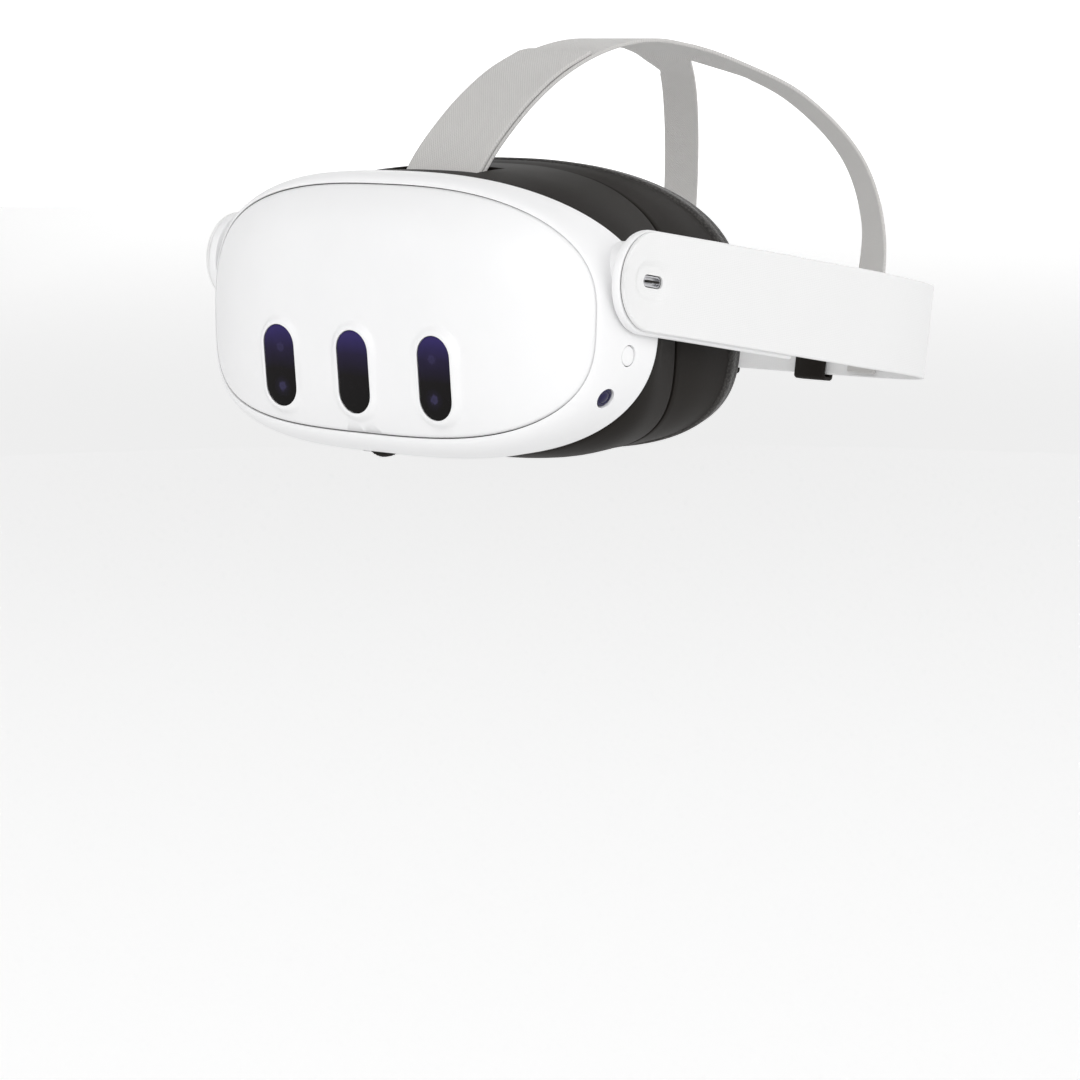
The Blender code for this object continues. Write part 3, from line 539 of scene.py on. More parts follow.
def rod(radius, start, end):
    """Cylinder between two points, as points and faces."""
    start, end = Vector(start), Vector(end)
    turn = (end - start).to_track_quat("Y", "Z").to_matrix().to_4x4()
    return extruded(circle(radius, 48), (end - start).length, Matrix.Translation(start) @ turn)


def lathe_rows(profile, centre, axis, steps):
    """Rows of points for a (radius, height) profile turned about an axis."""
    turn = Vector(axis).to_track_quat("Z", "Y").to_matrix()
    rows = []
    for radius, height in profile:
        ring = circle(radius, steps)
        rows.append([Vector(centre) + turn @ Vector((x, y, height)) for x, y in ring])
    return rows


def lathe(name, profile, centre, axis, slot, body, stands_for=(), closed=False, steps=96, soft=0.0):
    rows = lathe_rows(profile, centre, axis, steps)
    obj = grid_piece(name, rows, slot, body, stands_for, closed, True)
    if soft:
        fixed(softened(obj, soft, 2))
    return obj


def stadium(half_width, half_height, count=17, side=0):
    """Outline with two half circles of so many points, and so many steps down each straight side."""
    straight = half_height - half_width
    points = []
    for end, start in ((1, 0.0), (-1, math.pi)):
        for i in range(count):
            angle = start + math.pi * i / (count - 1)
            points.append((half_width * math.cos(angle), end * straight + half_width * math.sin(angle)))
        for i in range(1, side):
            points.append((-end * half_width, end * straight * (1.0 - 2.0 * i / side)))
    return points


def from_stadium(x, z, half_width, half_height):
    """Distance outside a stadium centred on the origin, negative inside."""
    straight = half_height - half_width
    return math.hypot(x, z - min(max(z, -straight), straight)) - half_width


def spline(points, steps):
    """Points on a Catmull-Rom curve through the given ones."""
    knots = [Vector(point) for point in points]
    knots = [2 * knots[0] - knots[1]] + knots + [2 * knots[-1] - knots[-2]]
    path = []
    for a, b, c, d in zip(knots, knots[1:], knots[2:], knots[3:]):
        for i in range(steps):
            t = i / steps
            bend = (2 * a - 5 * b + 4 * c - d) * t**2 + (3 * b - 3 * c + d - a) * t**3
            path.append(0.5 * (2 * b + (c - a) * t + bend))
    path.append(knots[-2])
    return path


def neighbours(path):
    """Each point of a path with the ones before and after it."""
    return zip([path[0]] + path, path, path[1:] + [path[-1]])


def spline_rings(rings, steps, closed=False):
    """More rings between the given ones, on smooth curves."""
    columns = []
    for column in zip(*rings):
        if closed:
            looped = column[-2:] + column + column[:2]
            columns.append(spline(looped, steps)[2 * steps : -2 * steps - 1 + steps])
        else:
            columns.append(spline(column, steps))
    return [list(ring) for ring in zip(*columns)]


# -------- the headset's own curves


def oval(wide, half, mid, lower=LOWER_SQUARENESS, count=AROUND):
    """Superellipse outline of (x, z), starting at +x, with its own squareness below the middle."""
    points = []
    for i in range(count):
        angle = 2.0 * math.pi * i / count
        squareness = UPPER_SQUARENESS if 2 * i <= count else lower
        power = 2.0 / squareness
        # the points lie closer together where the outline turns
        cosine = math.copysign(abs(math.cos(angle)) ** power, math.cos(angle))
        sine = math.copysign(abs(math.sin(angle)) ** power, math.sin(angle))
        points.append((wide * cosine, mid + half * sine))
    return points


def oval_between(wide, top, bottom, lower=CHEEK_SQUARENESS):
    """Oval between two heights, flat where it would reach below the floor."""
    points = oval(wide, (top - bottom) / 2, (top + bottom) / 2, lower)
    return [(x, max(z, FLOOR)) for x, z in points]


def above_floor(rings):
    return [[(x, y, max(z, FLOOR)) for x, y, z in ring] for ring in rings]


def front_depth(x, z):
    """How far the crowned front lies behind the middle of the centre window."""
    across = x / SEAM_WIDE
    up = (z - 16.0) / 45.0
    corner = 12.0 * across**2 * max(up, 0.0) ** 2
    return 5.0 * across**2 + 17.0 * across**4 + 12.2 * up**4 + corner - 0.2


def shell_back(z):
    """Rear edge of the white shell, furthest back beside the strap pivots."""
    return 52.0 - 0.0115 * (z - 16.0) ** 2


def rim_depth(x):
    """Rear edge of the facial interface, which curves back round the temples."""
    return RIM_MIDDLE + (RIM_SIDE - RIM_MIDDLE) * (x / RIM_WIDE) ** 2


def nose_rise(x, z):
    """Lift of the interface's lower edge over the nose."""
    if z > SHELL_MID:
        return 0.0
    return 17.0 * math.exp(-((x / 15.0) ** 2))


def pod_depth(side, z):
    """Depth of the flat face of a sensor pod, which leans back towards its foot."""
    return front_depth(side * WINDOW_SPACING, 0.0) - POD_RISE - POD_LEAN * z


# -------- front cover and windows


def fillet(distance, radius):
    """Drop of a rounded edge at a distance inside it."""
    if distance >= radius:
        return 0.0
    return radius - math.sqrt(radius**2 - (radius - distance) ** 2)


def pod_wall(away, side, x, z):
    """Depth of a pod's rim, and of the wall that falls from it to the front, outside its window."""
    part = min(max((away - 0.75) / 2.8, 0.0), 1.0)
    part = part * part * (3.0 - 2.0 * part)
    rim = pod_depth(side, z) + fillet(away - POD_GAP, 0.22)
    return rim + (front_depth(x, z) - rim) * part


def window_distance(x, z):
    """Distance outside the nearest sensor window."""
    offsets = (x - side * WINDOW_SPACING for side in (-1, 0, 1))
    return min(from_stadium(offset, z, WINDOW_HALF_WIDTH, WINDOW_HALF_HEIGHT) for offset in offsets)


def make_front_cover():
    """Crowned cover with a rounded rim, and a pod standing proud of it round each window."""
    wide, half = SEAM_WIDE - SEAM_GAP, SEAM_HALF - SEAM_GAP
    rim = 1.1
    rim_points = 240
    rim_reach = 3.2
    pod_reach = 4.3
    pitch = 2.4
    flat = []
    depths = []

    def within(x, z, inset):
        """Whether a point lies inside the cover's outline by more than an inset."""
        squareness = UPPER_SQUARENESS if z > SEAM_MID else LOWER_SQUARENESS
        across, up = abs(x) / (wide - inset), abs(z - SEAM_MID) / (half - inset)
        return across**squareness + up**squareness < 1.0

    for inset in (0.0, 0.1, 0.25, 0.5, 0.8, 1.1, 1.7, 2.6, 4.2):
        for x, z in oval(wide - inset, half - inset, SEAM_MID, count=rim_points):
            if inset > rim and window_distance(x, z) < pod_reach:
                continue
            flat.append(Vector((x, z)))
            depths.append(front_depth(x, z) + fillet(inset, rim))
    edges = [(i, (i + 1) % rim_points) for i in range(rim_points)]
    pod_rings = [POD_GAP, 0.15, 0.22, 0.32, 0.5, 0.75]
    pod_rings += [0.95, 1.15, 1.35, 1.55, 1.75, 1.95, 2.15, 2.35, 2.6, 2.9, 3.2, 3.6, 4.6]
    for side in (-1, 0, 1):
        for away in pod_rings:
            ring = stadium(WINDOW_HALF_WIDTH + away, WINDOW_HALF_HEIGHT + away, 21, 10)
            first = len(flat)
            for x, z in ring:
                x += side * WINDOW_SPACING
                if away > 3.0 and not within(x, z, rim_reach):
                    continue
                flat.append(Vector((x, z)))
                depths.append(pod_wall(away, side, x, z))
            if away == POD_GAP:
                edges += [(first + i, first + (i + 1) % len(ring)) for i in range(len(ring))]

    for i in range(-36, 37):
        for j in range(-20, 40):
            x, z = i * pitch, j * pitch - 6.0
            if within(x, z, 2.5 * pitch) and window_distance(x, z) > pod_reach + 1.5:
                flat.append(Vector((x, z)))
                depths.append(front_depth(x, z))
    points, _, faces, sources, _, _ = delaunay_2d_cdt(flat, edges, [], 1, 0.0001)
    solid = []
    for point, source in zip(points, sources):
        depth = depths[source[0]] if source else front_depth(point.x, point.y)
        solid.append((point.x, depth, point.y))
    kept = []
    for face in faces:
        middle = sum((points[i] for i in face), Vector((0.0, 0.0))) / len(face)
        if window_distance(middle.x, middle.y) > POD_GAP - 0.02:
            kept.append(face)
    cover = made("cover_face", solid, kept, "white_plastic", "visor", ("front_cover",), outward=False)
    if cover.data.polygons[0].normal.y > 0:
        cover.data.flip_normals()
    wall = cover.modifiers.new("wall", "SOLIDIFY")
    wall.thickness = 1.8 * MM
    wall.offset = -1.0
    fixed(cover, 75.0)


def make_seam_shade_strip():
    """Dark strip at the bottom of the seam between the cover and the shell, painted shade that makes the gap
    read as a dark line.
    """
    near, far = SEAM_GAP - 0.03, 1.0
    rows = []
    for grow, deep in ((-near, far), (near, far), (near, far + 0.5), (-near, far + 0.5)):
        outline = oval(SEAM_WIDE + grow, SEAM_HALF + grow, SEAM_MID)
        rows.append([(x, front_depth(x, z) + deep, z) for x, z in outline])
    # dark strip painted as the shade inside the seam
    grid_piece("seam_shade_strip", rows, "foam", "visor", (), True, True)


def make_windows():
    """Smoked windows, hardly domed, with rounded edges."""
    profile = (
        (0.0, 1.3), (0.0, 0.2), (0.1, 0.08), (0.3, 0.02), (0.8, 0.0), (2.0, -0.03), (4.0, -0.06), (6.3, -0.08)
    )
    for side, word in ((-1, "right"), (0, "center"), (1, "left")):
        lean = Matrix.Rotation(math.atan(POD_LEAN), 4, "X")
        place_at = Matrix.Translation((side * WINDOW_SPACING, pod_depth(side, 0.0) + 0.3, 0.0)) @ lean
        rows = []
        for inset, depth in profile:
            ring = stadium(WINDOW_HALF_WIDTH - inset, WINDOW_HALF_HEIGHT - inset, 25, 6)
            rows.append([place_at @ Vector((x, depth, z)) for x, z in ring])
        points, faces, _ = grid_faces(rows, False, True)
        faces += [row_face(rows, 0), row_face(rows, -1)]
        made(f"window_{word}", points, faces, "dark_glass", "visor", (f"sensor_window_{word}",))


# -------- white shell


def shell_ring(along, inset=0.0, behind=0.0):
    """Ring of the shell, from the seam (0) to its rear edge (1)."""
    swell = math.sqrt(1.0 - (1.0 - min(along / 0.6, 1.0)) ** 2)
    wide = SEAM_WIDE + SEAM_GAP + (SHELL_WIDE - SEAM_WIDE - SEAM_GAP) * swell - inset
    half = SEAM_HALF + SEAM_GAP + (SHELL_HALF - SEAM_HALF - SEAM_GAP) * swell - inset
    mid = SEAM_MID + (SHELL_MID - SEAM_MID) * swell
    seam = oval(SEAM_WIDE, SEAM_HALF, SEAM_MID)
    ring = []
    for (x, z), (seam_x, seam_z) in zip(oval(wide, half, mid), seam):
        start = front_depth(seam_x, seam_z)
        ring.append((x, start + (shell_back(z) - start) * along + behind, z))
    return ring


SIDES = ((1, "left"), (-1, "right"))
WHEEL_HALF = 1.75
SIDE_CAMERA_CENTRE = (84.1, 28.7, -5.6)
SIDE_CAMERA_RADIUS = 3.3
BUTTON_CENTRE = (87.7, 36.0, 8.0)
BUTTON_RADIUS = 3.3


def side_camera_axis(side, start, end):
    """Two points on a side camera's axis, measured outwards from its window."""
    centre = Vector((side * SIDE_CAMERA_CENTRE[0], *SIDE_CAMERA_CENTRE[1:]))
    outwards = Vector((side * 0.899, -0.059, -0.435)).normalized()
    return centre + outwards * start, centre + outwards * end


def pivot_hole(side):
    """Cutter for the hole that a pivot sleeve runs in, through the shell and the housing."""
    return rod(SLEEVE_RADIUS + 0.35, (side * 60.0, PIVOT_Y, PIVOT_Z), (side * 95.0, PIVOT_Y, PIVOT_Z))


def make_shell():
    close = (0.006, 0.013, 0.022, 0.034, 0.05, 0.07, 0.095, 0.125, 0.16, 0.2)
    outside = [shell_ring(0.0, 0.0, 0.5), shell_ring(0.0, 0.0, 0.22)]
    outside[1] = [(x, y - 0.1, z) for x, y, z in outside[1]]
    outside += [shell_ring(along) for along in close]
    outside += [shell_ring(0.25 + 0.05 * i) for i in range(15)]
    outside += [shell_ring(0.985), shell_ring(0.996, 0.15), shell_ring(1.0, 0.45)]
    inside = [shell_ring(along, SHELL_WALL) for along in (1.0, 0.6, 0.34)]
    ledge = [shell_ring(0.0, 2.6, 4.6), shell_ring(0.0, 3.2, 2.6), shell_ring(0.0, 0.2, 2.3)]
    rows = outside + inside + ledge
    shell = grid_piece("shell_body", rows, "white_plastic", "visor", ("visor_shell",), True, True)

    flat_turn = Matrix.Rotation(math.radians(90), 4, "X")
    wheel_slot = Matrix.Translation((0.0, wheel_front() + WHEEL_HALF, -40.0)) @ flat_turn
    tools = [extruded([(z, x) for x, z in stadium(2.45, 8.7, 9)], 16.0, wheel_slot)]
    rocker = Matrix.Translation(node_centre("volume_rocker") - ORIGIN)
    rocker_turn = Matrix.Rotation(math.radians(8.3), 4, "Y")
    rocker_slot = rocker @ rocker_turn @ Matrix.Translation((0.0, 0.0, -4.5)) @ flat_turn
    tools.append(extruded([(z, x) for x, z in stadium(2.6, 11.4, 9)], 9.0, rocker_slot))
    x, y, z = BUTTON_CENTRE
    tools.append(rod(BUTTON_RADIUS + GAP, (x - 8.0, y, z), (x + 4.0, y, z)))
    for side in (-1, 1):
        tools.append(rod(SIDE_CAMERA_RADIUS + GAP, *side_camera_axis(side, -8.0, 4.0)))
        tools.append(pivot_hole(side))
    carved(shell, *tools)

    outside = ((0.0, 76.0), (0.3, 84.0), (0.0, 87.4), (-0.2, 88.0), (-0.7, 88.3), (-3.0, 88.35))
    profile = [(7.6, 76.0)] + [(BOSS_RADIUS + grow, x) for grow, x in outside] + [(7.6, 88.35)]
    centre = (0.0, PIVOT_Y, PIVOT_Z)
    for side, word in SIDES:
        axis = (side, 0, 0)
        lathe(f"pivot_boss_{word}", profile, centre, axis, "white_plastic", "visor", (), True, 128, 0.3)


def wheel_front():
    """Front face of the lens wheel, behind the cover's front."""
    low, _ = node_box("ipd_wheel")
    return low.y - ORIGIN.y


def make_side_details():
    side_glass = Look("side_glass", (0.010, 0.007, 0.05), 0.06, Specular_IOR_Level=0.35).material
    radius = SIDE_CAMERA_RADIUS
    profile = [(0.0, -5.0), (radius, -5.0), (radius, -0.9), (radius - 0.25, -0.55), (radius - 0.75, -0.5)]
    profile += [(radius - 0.95, -0.75), (radius - 1.1, -0.8)]
    profile += [(1.9, -0.45), (1.2, -0.2), (0.5, -0.1), (0.0, -0.08)]
    for side, word in SIDES:
        start, end = side_camera_axis(side, 0.0, 1.0)
        finish = ("dark_glass", "visor", (f"side_camera_{word}",), False, 64)
        window = lathe(f"side_window_{word}", profile, start, end - start, *finish)
        window.data.materials[0] = side_glass
    radius = BUTTON_RADIUS
    profile = [(0.0, -3.4), (radius, -3.4), (radius, -0.4), (radius - 0.15, -0.12), (radius - 0.5, 0.0)]
    profile += [(1.6, -0.12), (0.0, -0.16)]
    finish = ("white_plastic", "power_button", ("power_button",), False, 64)
    lathe("power_key", profile, BUTTON_CENTRE, (1, 0, 0), *finish)


def make_wheel():
    """Lens wheel with fine knurling on its rim."""
    low, high = node_box("ipd_wheel")
    centre = Vector((0.0, wheel_front() + WHEEL_HALF, (low.z + high.z) / 2 - ORIGIN.z))
    radius = (high.x - low.x) / 2
    knurl = 0.35
    half = WHEEL_HALF
    profile = [(0.0, -30.0), (2.2, -30.0), (2.2, -26.0), (1.2, -26.0), (1.2, -half), (radius - 0.6, -half)]
    profile += [(radius, -1.1), (radius, 1.1), (radius - 0.6, half), (2.6, half), (2.2, 1.5), (0.0, 1.5)]
    rows = lathe_rows([(r, -h) for r, h in profile], centre, (0, 1, 0), 180)
    for row, (r, _) in zip(rows, profile):
        if r >= radius - 0.01:
            for i, point in enumerate(row):
                if i % 4 < 2:
                    away = point - centre
                    away.y = 0.0
                    row[i] = point - away.normalized() * knurl
    grid_piece("lens_wheel", rows, "black_plastic", "ipd_wheel", ("ipd_wheel",), False, True)


# -------- black housing and facial interface


def housing_rings(inset):
    """Rings of the housing from inside the shell to its back, smaller by an inset."""
    sections = (
        (-9.0, 0.0, 85.4, 62.9, -26.6, LOWER_SQUARENESS),
        (0.8, 0.0, 85.4, 62.9, -26.6, LOWER_SQUARENESS),
        (6.0, 0.0, 84.6, 64.6, -29.6, 3.4),
        (0.0, 0.5, 82.6, 66.6, FOOT, CHEEK_SQUARENESS),
        (0.0, 1.0, 79.0, 67.2, FOOT, CHEEK_SQUARENESS),
    )
    rings = []
    for behind, part, wide, top, bottom, lower in sections:
        ring = []
        for x, z in oval_between(wide - inset, top - inset, bottom + inset, lower):
            z = max(z, FLOOR + inset)
            edge = shell_back(min(max(z, SHELL_MID - SHELL_HALF), SHELL_MID + SHELL_HALF))
            ring.append((x, edge + behind + (HOUSING_BACK - edge) * part, z))
        rings.append(ring)
    return rings


def make_housing():
    outer = housing_rings(0.0)
    smooth = [outer[0]] + spline_rings(outer[1:], 6)
    smooth = above_floor(smooth)
    last = smooth[-1]
    edge = 0.5
    rounded = [[(x * (1 - edge / 79.0), y, z - edge * (z - 18.0) / 49.0) for x, y, z in last]]
    smooth[-1] = [(x, y - edge, z) for x, y, z in last]
    rings = smooth + rounded + housing_rings(HOUSING_WALL)[::-1]
    housing = grid_piece("housing_body", rings, "black_plastic", "visor", ("rear_housing",), True, True)
    pocket = [(-20.5, -10.0), (20.5, -10.0), (20.5, 10.0), (-20.5, 10.0)]
    anchor_pocket = extruded(pocket, 15.0, Matrix.Translation((0.0, 40.0, 69.5)))
    carved(housing, anchor_pocket, pivot_hole(-1), pivot_hole(1))


def interface_ring(wide, top, bottom, depth, nose=0.0):
    ring = []
    for x, z in oval_between(wide, top, bottom):
        ring.append((x, depth(x), z + nose * nose_rise(x, z)))
    return ring


def behind_rim(offset):
    return lambda x: rim_depth(x) + offset


def flat_at(y):
    return lambda x: y


def part_way(part, offset):
    return lambda x: 75.0 + (rim_depth(x) - PAD_DEPTH + offset - 75.0) * part


def interface_rings(*rings):
    return [interface_ring(*ring) for ring in rings]


def make_interface():
    """Frame that holds the cushion, and the padded cushion round its rear edge."""
    top = 68.0
    outer = interface_rings(
        (79.0, 66.8, FOOT, flat_at(74.8)),
        (78.4, 67.6, FOOT, part_way(0.45, -GAP), 0.25),
        (76.2, top, FOOT, behind_rim(-PAD_DEPTH - GAP), 1.0),
    )
    inner = interface_rings(
        (72.6, top - 3.6, FLOOR + 3.6, behind_rim(-PAD_DEPTH - GAP), 1.0),
        (75.0, 64.4, FLOOR + 3.2, part_way(0.45, -GAP), 0.25),
        (74.6, 62.4, FLOOR + 3.8, flat_at(74.8)),
        (73.4, 61.2, FLOOR + 4.6, flat_at(64.4)),
        (76.2, 63.8, FLOOR + 2.5, flat_at(64.4)),
        (76.2, 63.8, FLOOR + 2.5, flat_at(74.8)),
    )
    rings = above_floor(spline_rings(outer, 6) + inner)
    holder = grid_piece("interface_frame", rings, "black_plastic", "face", ("face_frame",), True, True)
    fixed(softened(holder, 0.5, 2, 50.0))

    rings = interface_rings(
        (76.0, top, FOOT, behind_rim(-PAD_DEPTH), 1.0),
        (76.5, top + 0.3, FOOT, behind_rim(-PAD_DEPTH * 0.6), 1.0),
        (76.2, top, FLOOR + 0.1, behind_rim(-PAD_DEPTH * 0.35), 1.0),
        (74.4, top - 1.2, FLOOR + 1.0, behind_rim(-1.6), 1.0),
        (70.5, top - 5.0, FLOOR + 4.5, behind_rim(0.0), 1.0),
        (63.5, top - 11.0, FLOOR + 10.0, behind_rim(-1.0), 1.0),
        (58.5, top - 15.5, FLOOR + 14.5, behind_rim(-4.5), 1.0),
        (59.0, top - 15.0, FLOOR + 14.0, behind_rim(-PAD_DEPTH), 1.0),
        (67.0, top - 8.0, FLOOR + 8.0, behind_rim(-PAD_DEPTH), 1.0),
    )
    rings = above_floor(spline_rings(rings, 5, True))
    pad = grid_piece("face_cushion", rings, "foam", "face", ("face_pad",), True, True)


# -------- head band and arms


def strap_to_headset(x, u, v):
    """Headset millimetres of a point in the strap's own (x, u, v)."""
    turned = Matrix.Rotation(STRAP_TILT, 3, "X") @ Vector((x, u, v))
    return turned + Vector((0.0, PIVOT_Y, PIVOT_Z))


def loop_point(along):
    """(x, u) on the strap's middle line: 0 to 1 down the arm, 1 to 2 round to the back."""
    if along <= 1.0:
        return BAND_X + (LOOP_WIDE - BAND_X) * math.sin(math.pi / 2 * along), LOOP_START * along
    angle = (along - 1.0) * math.pi / 2
    power = 2.0 / LOOP_SQUARENESS
    return LOOP_WIDE * abs(math.cos(angle)) ** power, LOOP_START + LOOP_DEEP * abs(math.sin(angle)) ** power


def even_path(points, step):
    """The same path with its points a fixed distance apart."""
    points = np.array(points, float)
    lengths = np.concatenate([[0.0], np.cumsum(np.linalg.norm(np.diff(points, axis=0), axis=1))])
    count = max(int(round(lengths[-1] / step)), 2)
    wanted = np.linspace(0.0, lengths[-1], count + 1)
    return np.stack([np.interp(wanted, lengths, points[:, k]) for k in range(points.shape[1])], axis=1)


def strap_sections(stop_u=None, radius=HUB_RADIUS):
    """(x, u, normal x, normal u) down the left half of the strap, from its round front end."""
    line = even_path([loop_point(2.0 * i / 6000) for i in range(6001)], 1.5)
    if stop_u:
        line = line[line[:, 1] <= stop_u]
    front = [(BAND_X, -radius * math.cos(math.radians(angle))) for angle in range(0, 90, 3)]
    line = np.concatenate([front, line])
    slope = np.gradient(line, axis=0)
    length = np.linalg.norm(slope, axis=1)
    normal = np.stack([slope[:, 1] / length, -slope[:, 0] / length], axis=1)
    normal[: len(front) + 1] = (1.0, 0.0)
    return [(*point, *across) for point, across in zip(line, normal)]


def band_row(section, radius, wall, inwards, edge, columns, drop=0.0, dished=False):
    """Closed cross-section of a flat strap with rounded edges."""
    x, u, across, back = section
    half = math.sqrt(max(radius**2 - min(u, 0.0) ** 2, 0.0)) + min(max(u, 0.0) / LOOP_START, 1.0)
    outer = []
    inner = []
    for i in range(columns + 1):
        v = half * math.sin(math.pi / 2 * (2.0 * i / columns - 1.0))
        if u < 0:
            inside = radius - math.hypot(u, v)
        else:
            inside = half - abs(v)
        reach = min(max(inside / edge, 0.0), 1.0)
        thick = wall / 2 * math.sqrt(1.0 - (1.0 - reach) ** 2)
        v -= drop * max(-v, 0.0) / max(half, 1.0)
        dip = 0.0
        if dished:
            away = from_stadium(v - PORT_CENTRE[1], u - PORT_CENTRE[0], PORT_HALF[1], PORT_HALF[0])
            dip = 0.8 * min(max(0.5 - away / 1.6, 0.0), 1.0) ** 1.5
        outer.append((x + across * (thick - inwards - dip), u + back * (thick - inwards - dip), v))
        inner.append((x - across * (thick + inwards), u - back * (thick + inwards), v))
    return outer + inner[-2:0:-1]


def strap_tool(points_and_faces):
    """The same shape moved from strap coordinates to headset coordinates."""
    points, faces = points_and_faces
    return [strap_to_headset(*point) for point in points], faces


def port_tool(half_height=2.1, half_width=5.1, start=9.0, length=20.0):
    """Stadium through the left arm at the port, running inwards from outside the band's middle."""
    turn = Matrix.Rotation(math.radians(90), 4, "Z")
    outline = [(z, x) for x, z in stadium(half_height, half_width)]
    return strap_tool(extruded(outline, length, Matrix.Translation((BAND_X + start, 0.0, 0.0)) @ turn))


def jack_tool():
    u, v = JACK_CENTRE
    return strap_tool(rod(2.9, (-80.0, u, v), (-100.0, u, v)))


def make_head_band():
    sections = strap_sections()
    left = [band_row(section, HUB_RADIUS, BAND_WALL, 0.0, 0.45, 48, 0.0, True) for section in sections]
    plain = [band_row(section, HUB_RADIUS, BAND_WALL, 0.0, 0.45, 48) for section in sections]
    right = [[(-x, u, v) for x, u, v in row] for row in plain[-2::-1]]
    rows = [[strap_to_headset(*point) for point in row] for row in left + right]
    band = grid_piece("band", rows, "white_band", "head_strap", ("head_band",), False, True)
    carved(band, port_tool(), jack_tool())


def strap_solid(rows, side):
    """Points and faces of a side's strap from its cross-sections, closed at its end."""
    placed = [[strap_to_headset(side * x, u, v) for x, u, v in row] for row in rows]
    points, faces, _ = grid_faces(placed, False, True)
    return points, faces + [row_face(rows, -1)]


def make_arms():
    """Stiff arm cores under the band, thicker towards the hub."""
    inwards = BAND_WALL / 2 + GAP + CORE_WALL / 2
    radius = HUB_RADIUS + 0.4
    rows = []
    for section in strap_sections(CORE_LENGTH, radius):
        thicker = 0.8 * min(max((34.0 - section[1]) / 18.0, 0.0), 1.0)
        rows.append(band_row(section, radius, CORE_WALL + thicker, inwards + thicker / 2, 0.5, 30, 0.8))
    for side, word in SIDES:
        points, faces = strap_solid(rows, side)
        arm = made(f"arm_{word}", points, faces, "white_plastic", "head_strap", (f"arm_core_{word}",))
        hole = rod(SLEEVE_RADIUS + 0.35, (side * 80.0, 0.0, 0.0), (side * (SLEEVE_END + GAP), 0.0, 0.0))
        carved(arm, strap_tool(hole), port_tool() if side > 0 else jack_tool())


def make_arm_gap_shades():
    """Thin dark sheet between the band and each arm core, painted shade that darkens the gap line between
    them and along the arm's lower edge.
    """
    thick = 0.14
    radius = HUB_RADIUS - 0.4
    inwards = BAND_WALL / 2 + GAP / 2
    sections = strap_sections(CORE_LENGTH - 1.0, radius)
    rows = [band_row(section, radius, thick, inwards, thick / 2, 30) for section in sections]
    for side, word in SIDES:
        points, faces = strap_solid(rows, side)
        # dark sheet standing in for the shade in the gap
        gap_shade = made(f"liner_{word}", points, faces, "black_plastic", "head_strap")
        carved(gap_shade, port_tool() if side > 0 else jack_tool())


def make_port_details():
    """Contact tongue inside the charging port."""
    points, faces = port_tool(0.35, 3.4, 0.3, 0.9)
    made("port_tongue", points, faces, "black_plastic", "head_strap")


def rounded_rectangle(half_u, half_v, corner, count=8):
    """Outline of a rectangle with rounded corners."""
    points = []
    for k, (along, up) in enumerate(((1, 1), (-1, 1), (-1, -1), (1, -1))):
        for i in range(count + 1):
            angle = math.pi / 2 * (k + i / count)
            u = along * (half_u - corner) + corner * math.cos(angle)
            points.append((u, up * (half_v - corner) + corner * math.sin(angle)))
    return points


def make_sliders():
    """Loops that the band's back runs through, with rounded corners and edges."""
    half_u, half_v, bore_u, bore_v = 3.7, 19.6, 2.3, 18.2
    corner, bore_corner = 1.4, 0.84
    u_middle = LOOP_START + LOOP_DEEP - 0.2
    rows = []
    for x, shrink in ((-7.0, 0.9), (-6.7, 0.3), (-6.1, 0.0), (6.1, 0.0), (6.7, 0.3), (7.0, 0.9)):
        outline = rounded_rectangle(half_u - shrink, half_v - shrink, corner - shrink / 2)
        rows.append([(x, *point) for point in outline])
    for x, grow in ((7.0, 0.3), (6.6, 0.0), (-6.6, 0.0), (-7.0, 0.3)):
        outline = rounded_rectangle(bore_u + grow, bore_v + grow, bore_corner)
        rows.append([(x, *point) for point in outline])
    for side, word in SIDES:
        placed = [[strap_to_headset(side * 22.0 + x, u_middle + u, v) for x, u, v in row] for row in rows]
        body = f"strap_slider_{word}"
        grid_piece(f"slider_{word}", placed, "black_plastic", body, (body,), True, True)


# -------- top strap


def strap_edges():
    """Inner and outer edge of the left half of the top strap, from its anchor to the band."""
    trunk = spline([(0.0, y, z) for y, z in STRAP_SIDE + STRAP_CROWN], 6)
    branch = spline(BRANCH, 6)
    centre = Vector((0.0, 150.0, 20.0))
    inner = [Vector((0.0, 190.0, 102.4))]
    outer = [Vector((20.2, 188.5, 102.4))]
    for before, point, after in neighbours(branch):
        if point.y < 200.0 and point.z > 95.0:
            continue
        across = (after - before).cross(point - centre).normalized()
        if across.x < 0:
            across.negate()
        turn = min(max((88.0 - point.z) / 45.0, 0.0), 1.0)
        above_band = min(max((point.z - 18.0) / 20.0, 0.0), 1.0)
        angle = BRANCH_TURN_LOW + (BRANCH_TURN_HIGH - BRANCH_TURN_LOW) * above_band
        flat = Vector((math.cos(angle), -math.sin(angle), 0.0))
        across = across.lerp(flat, turn).normalized() * BRANCH_HALF_WIDTH
        inner.append(point - across)
        outer.append(point + across)
    trunk_inner = [Vector((0.0, p.y, p.z)) for p in trunk]
    trunk_outer = [Vector((STRAP_HALF_WIDTH, p.y, p.z)) for p in trunk]
    inner_path = trunk_inner + spline([trunk_inner[-1], Vector((0.0, 180.0, 105.0)), inner[0]], 4)[1:]
    outer_path = trunk_outer + spline([trunk_outer[-1], Vector((18.0, 179.5, 105.0)), outer[0]], 4)[1:]
    inner_path += spline(inner, 3)[1:]
    outer_path += spline(outer, 3)[1:]
    return inner_path, outer_path


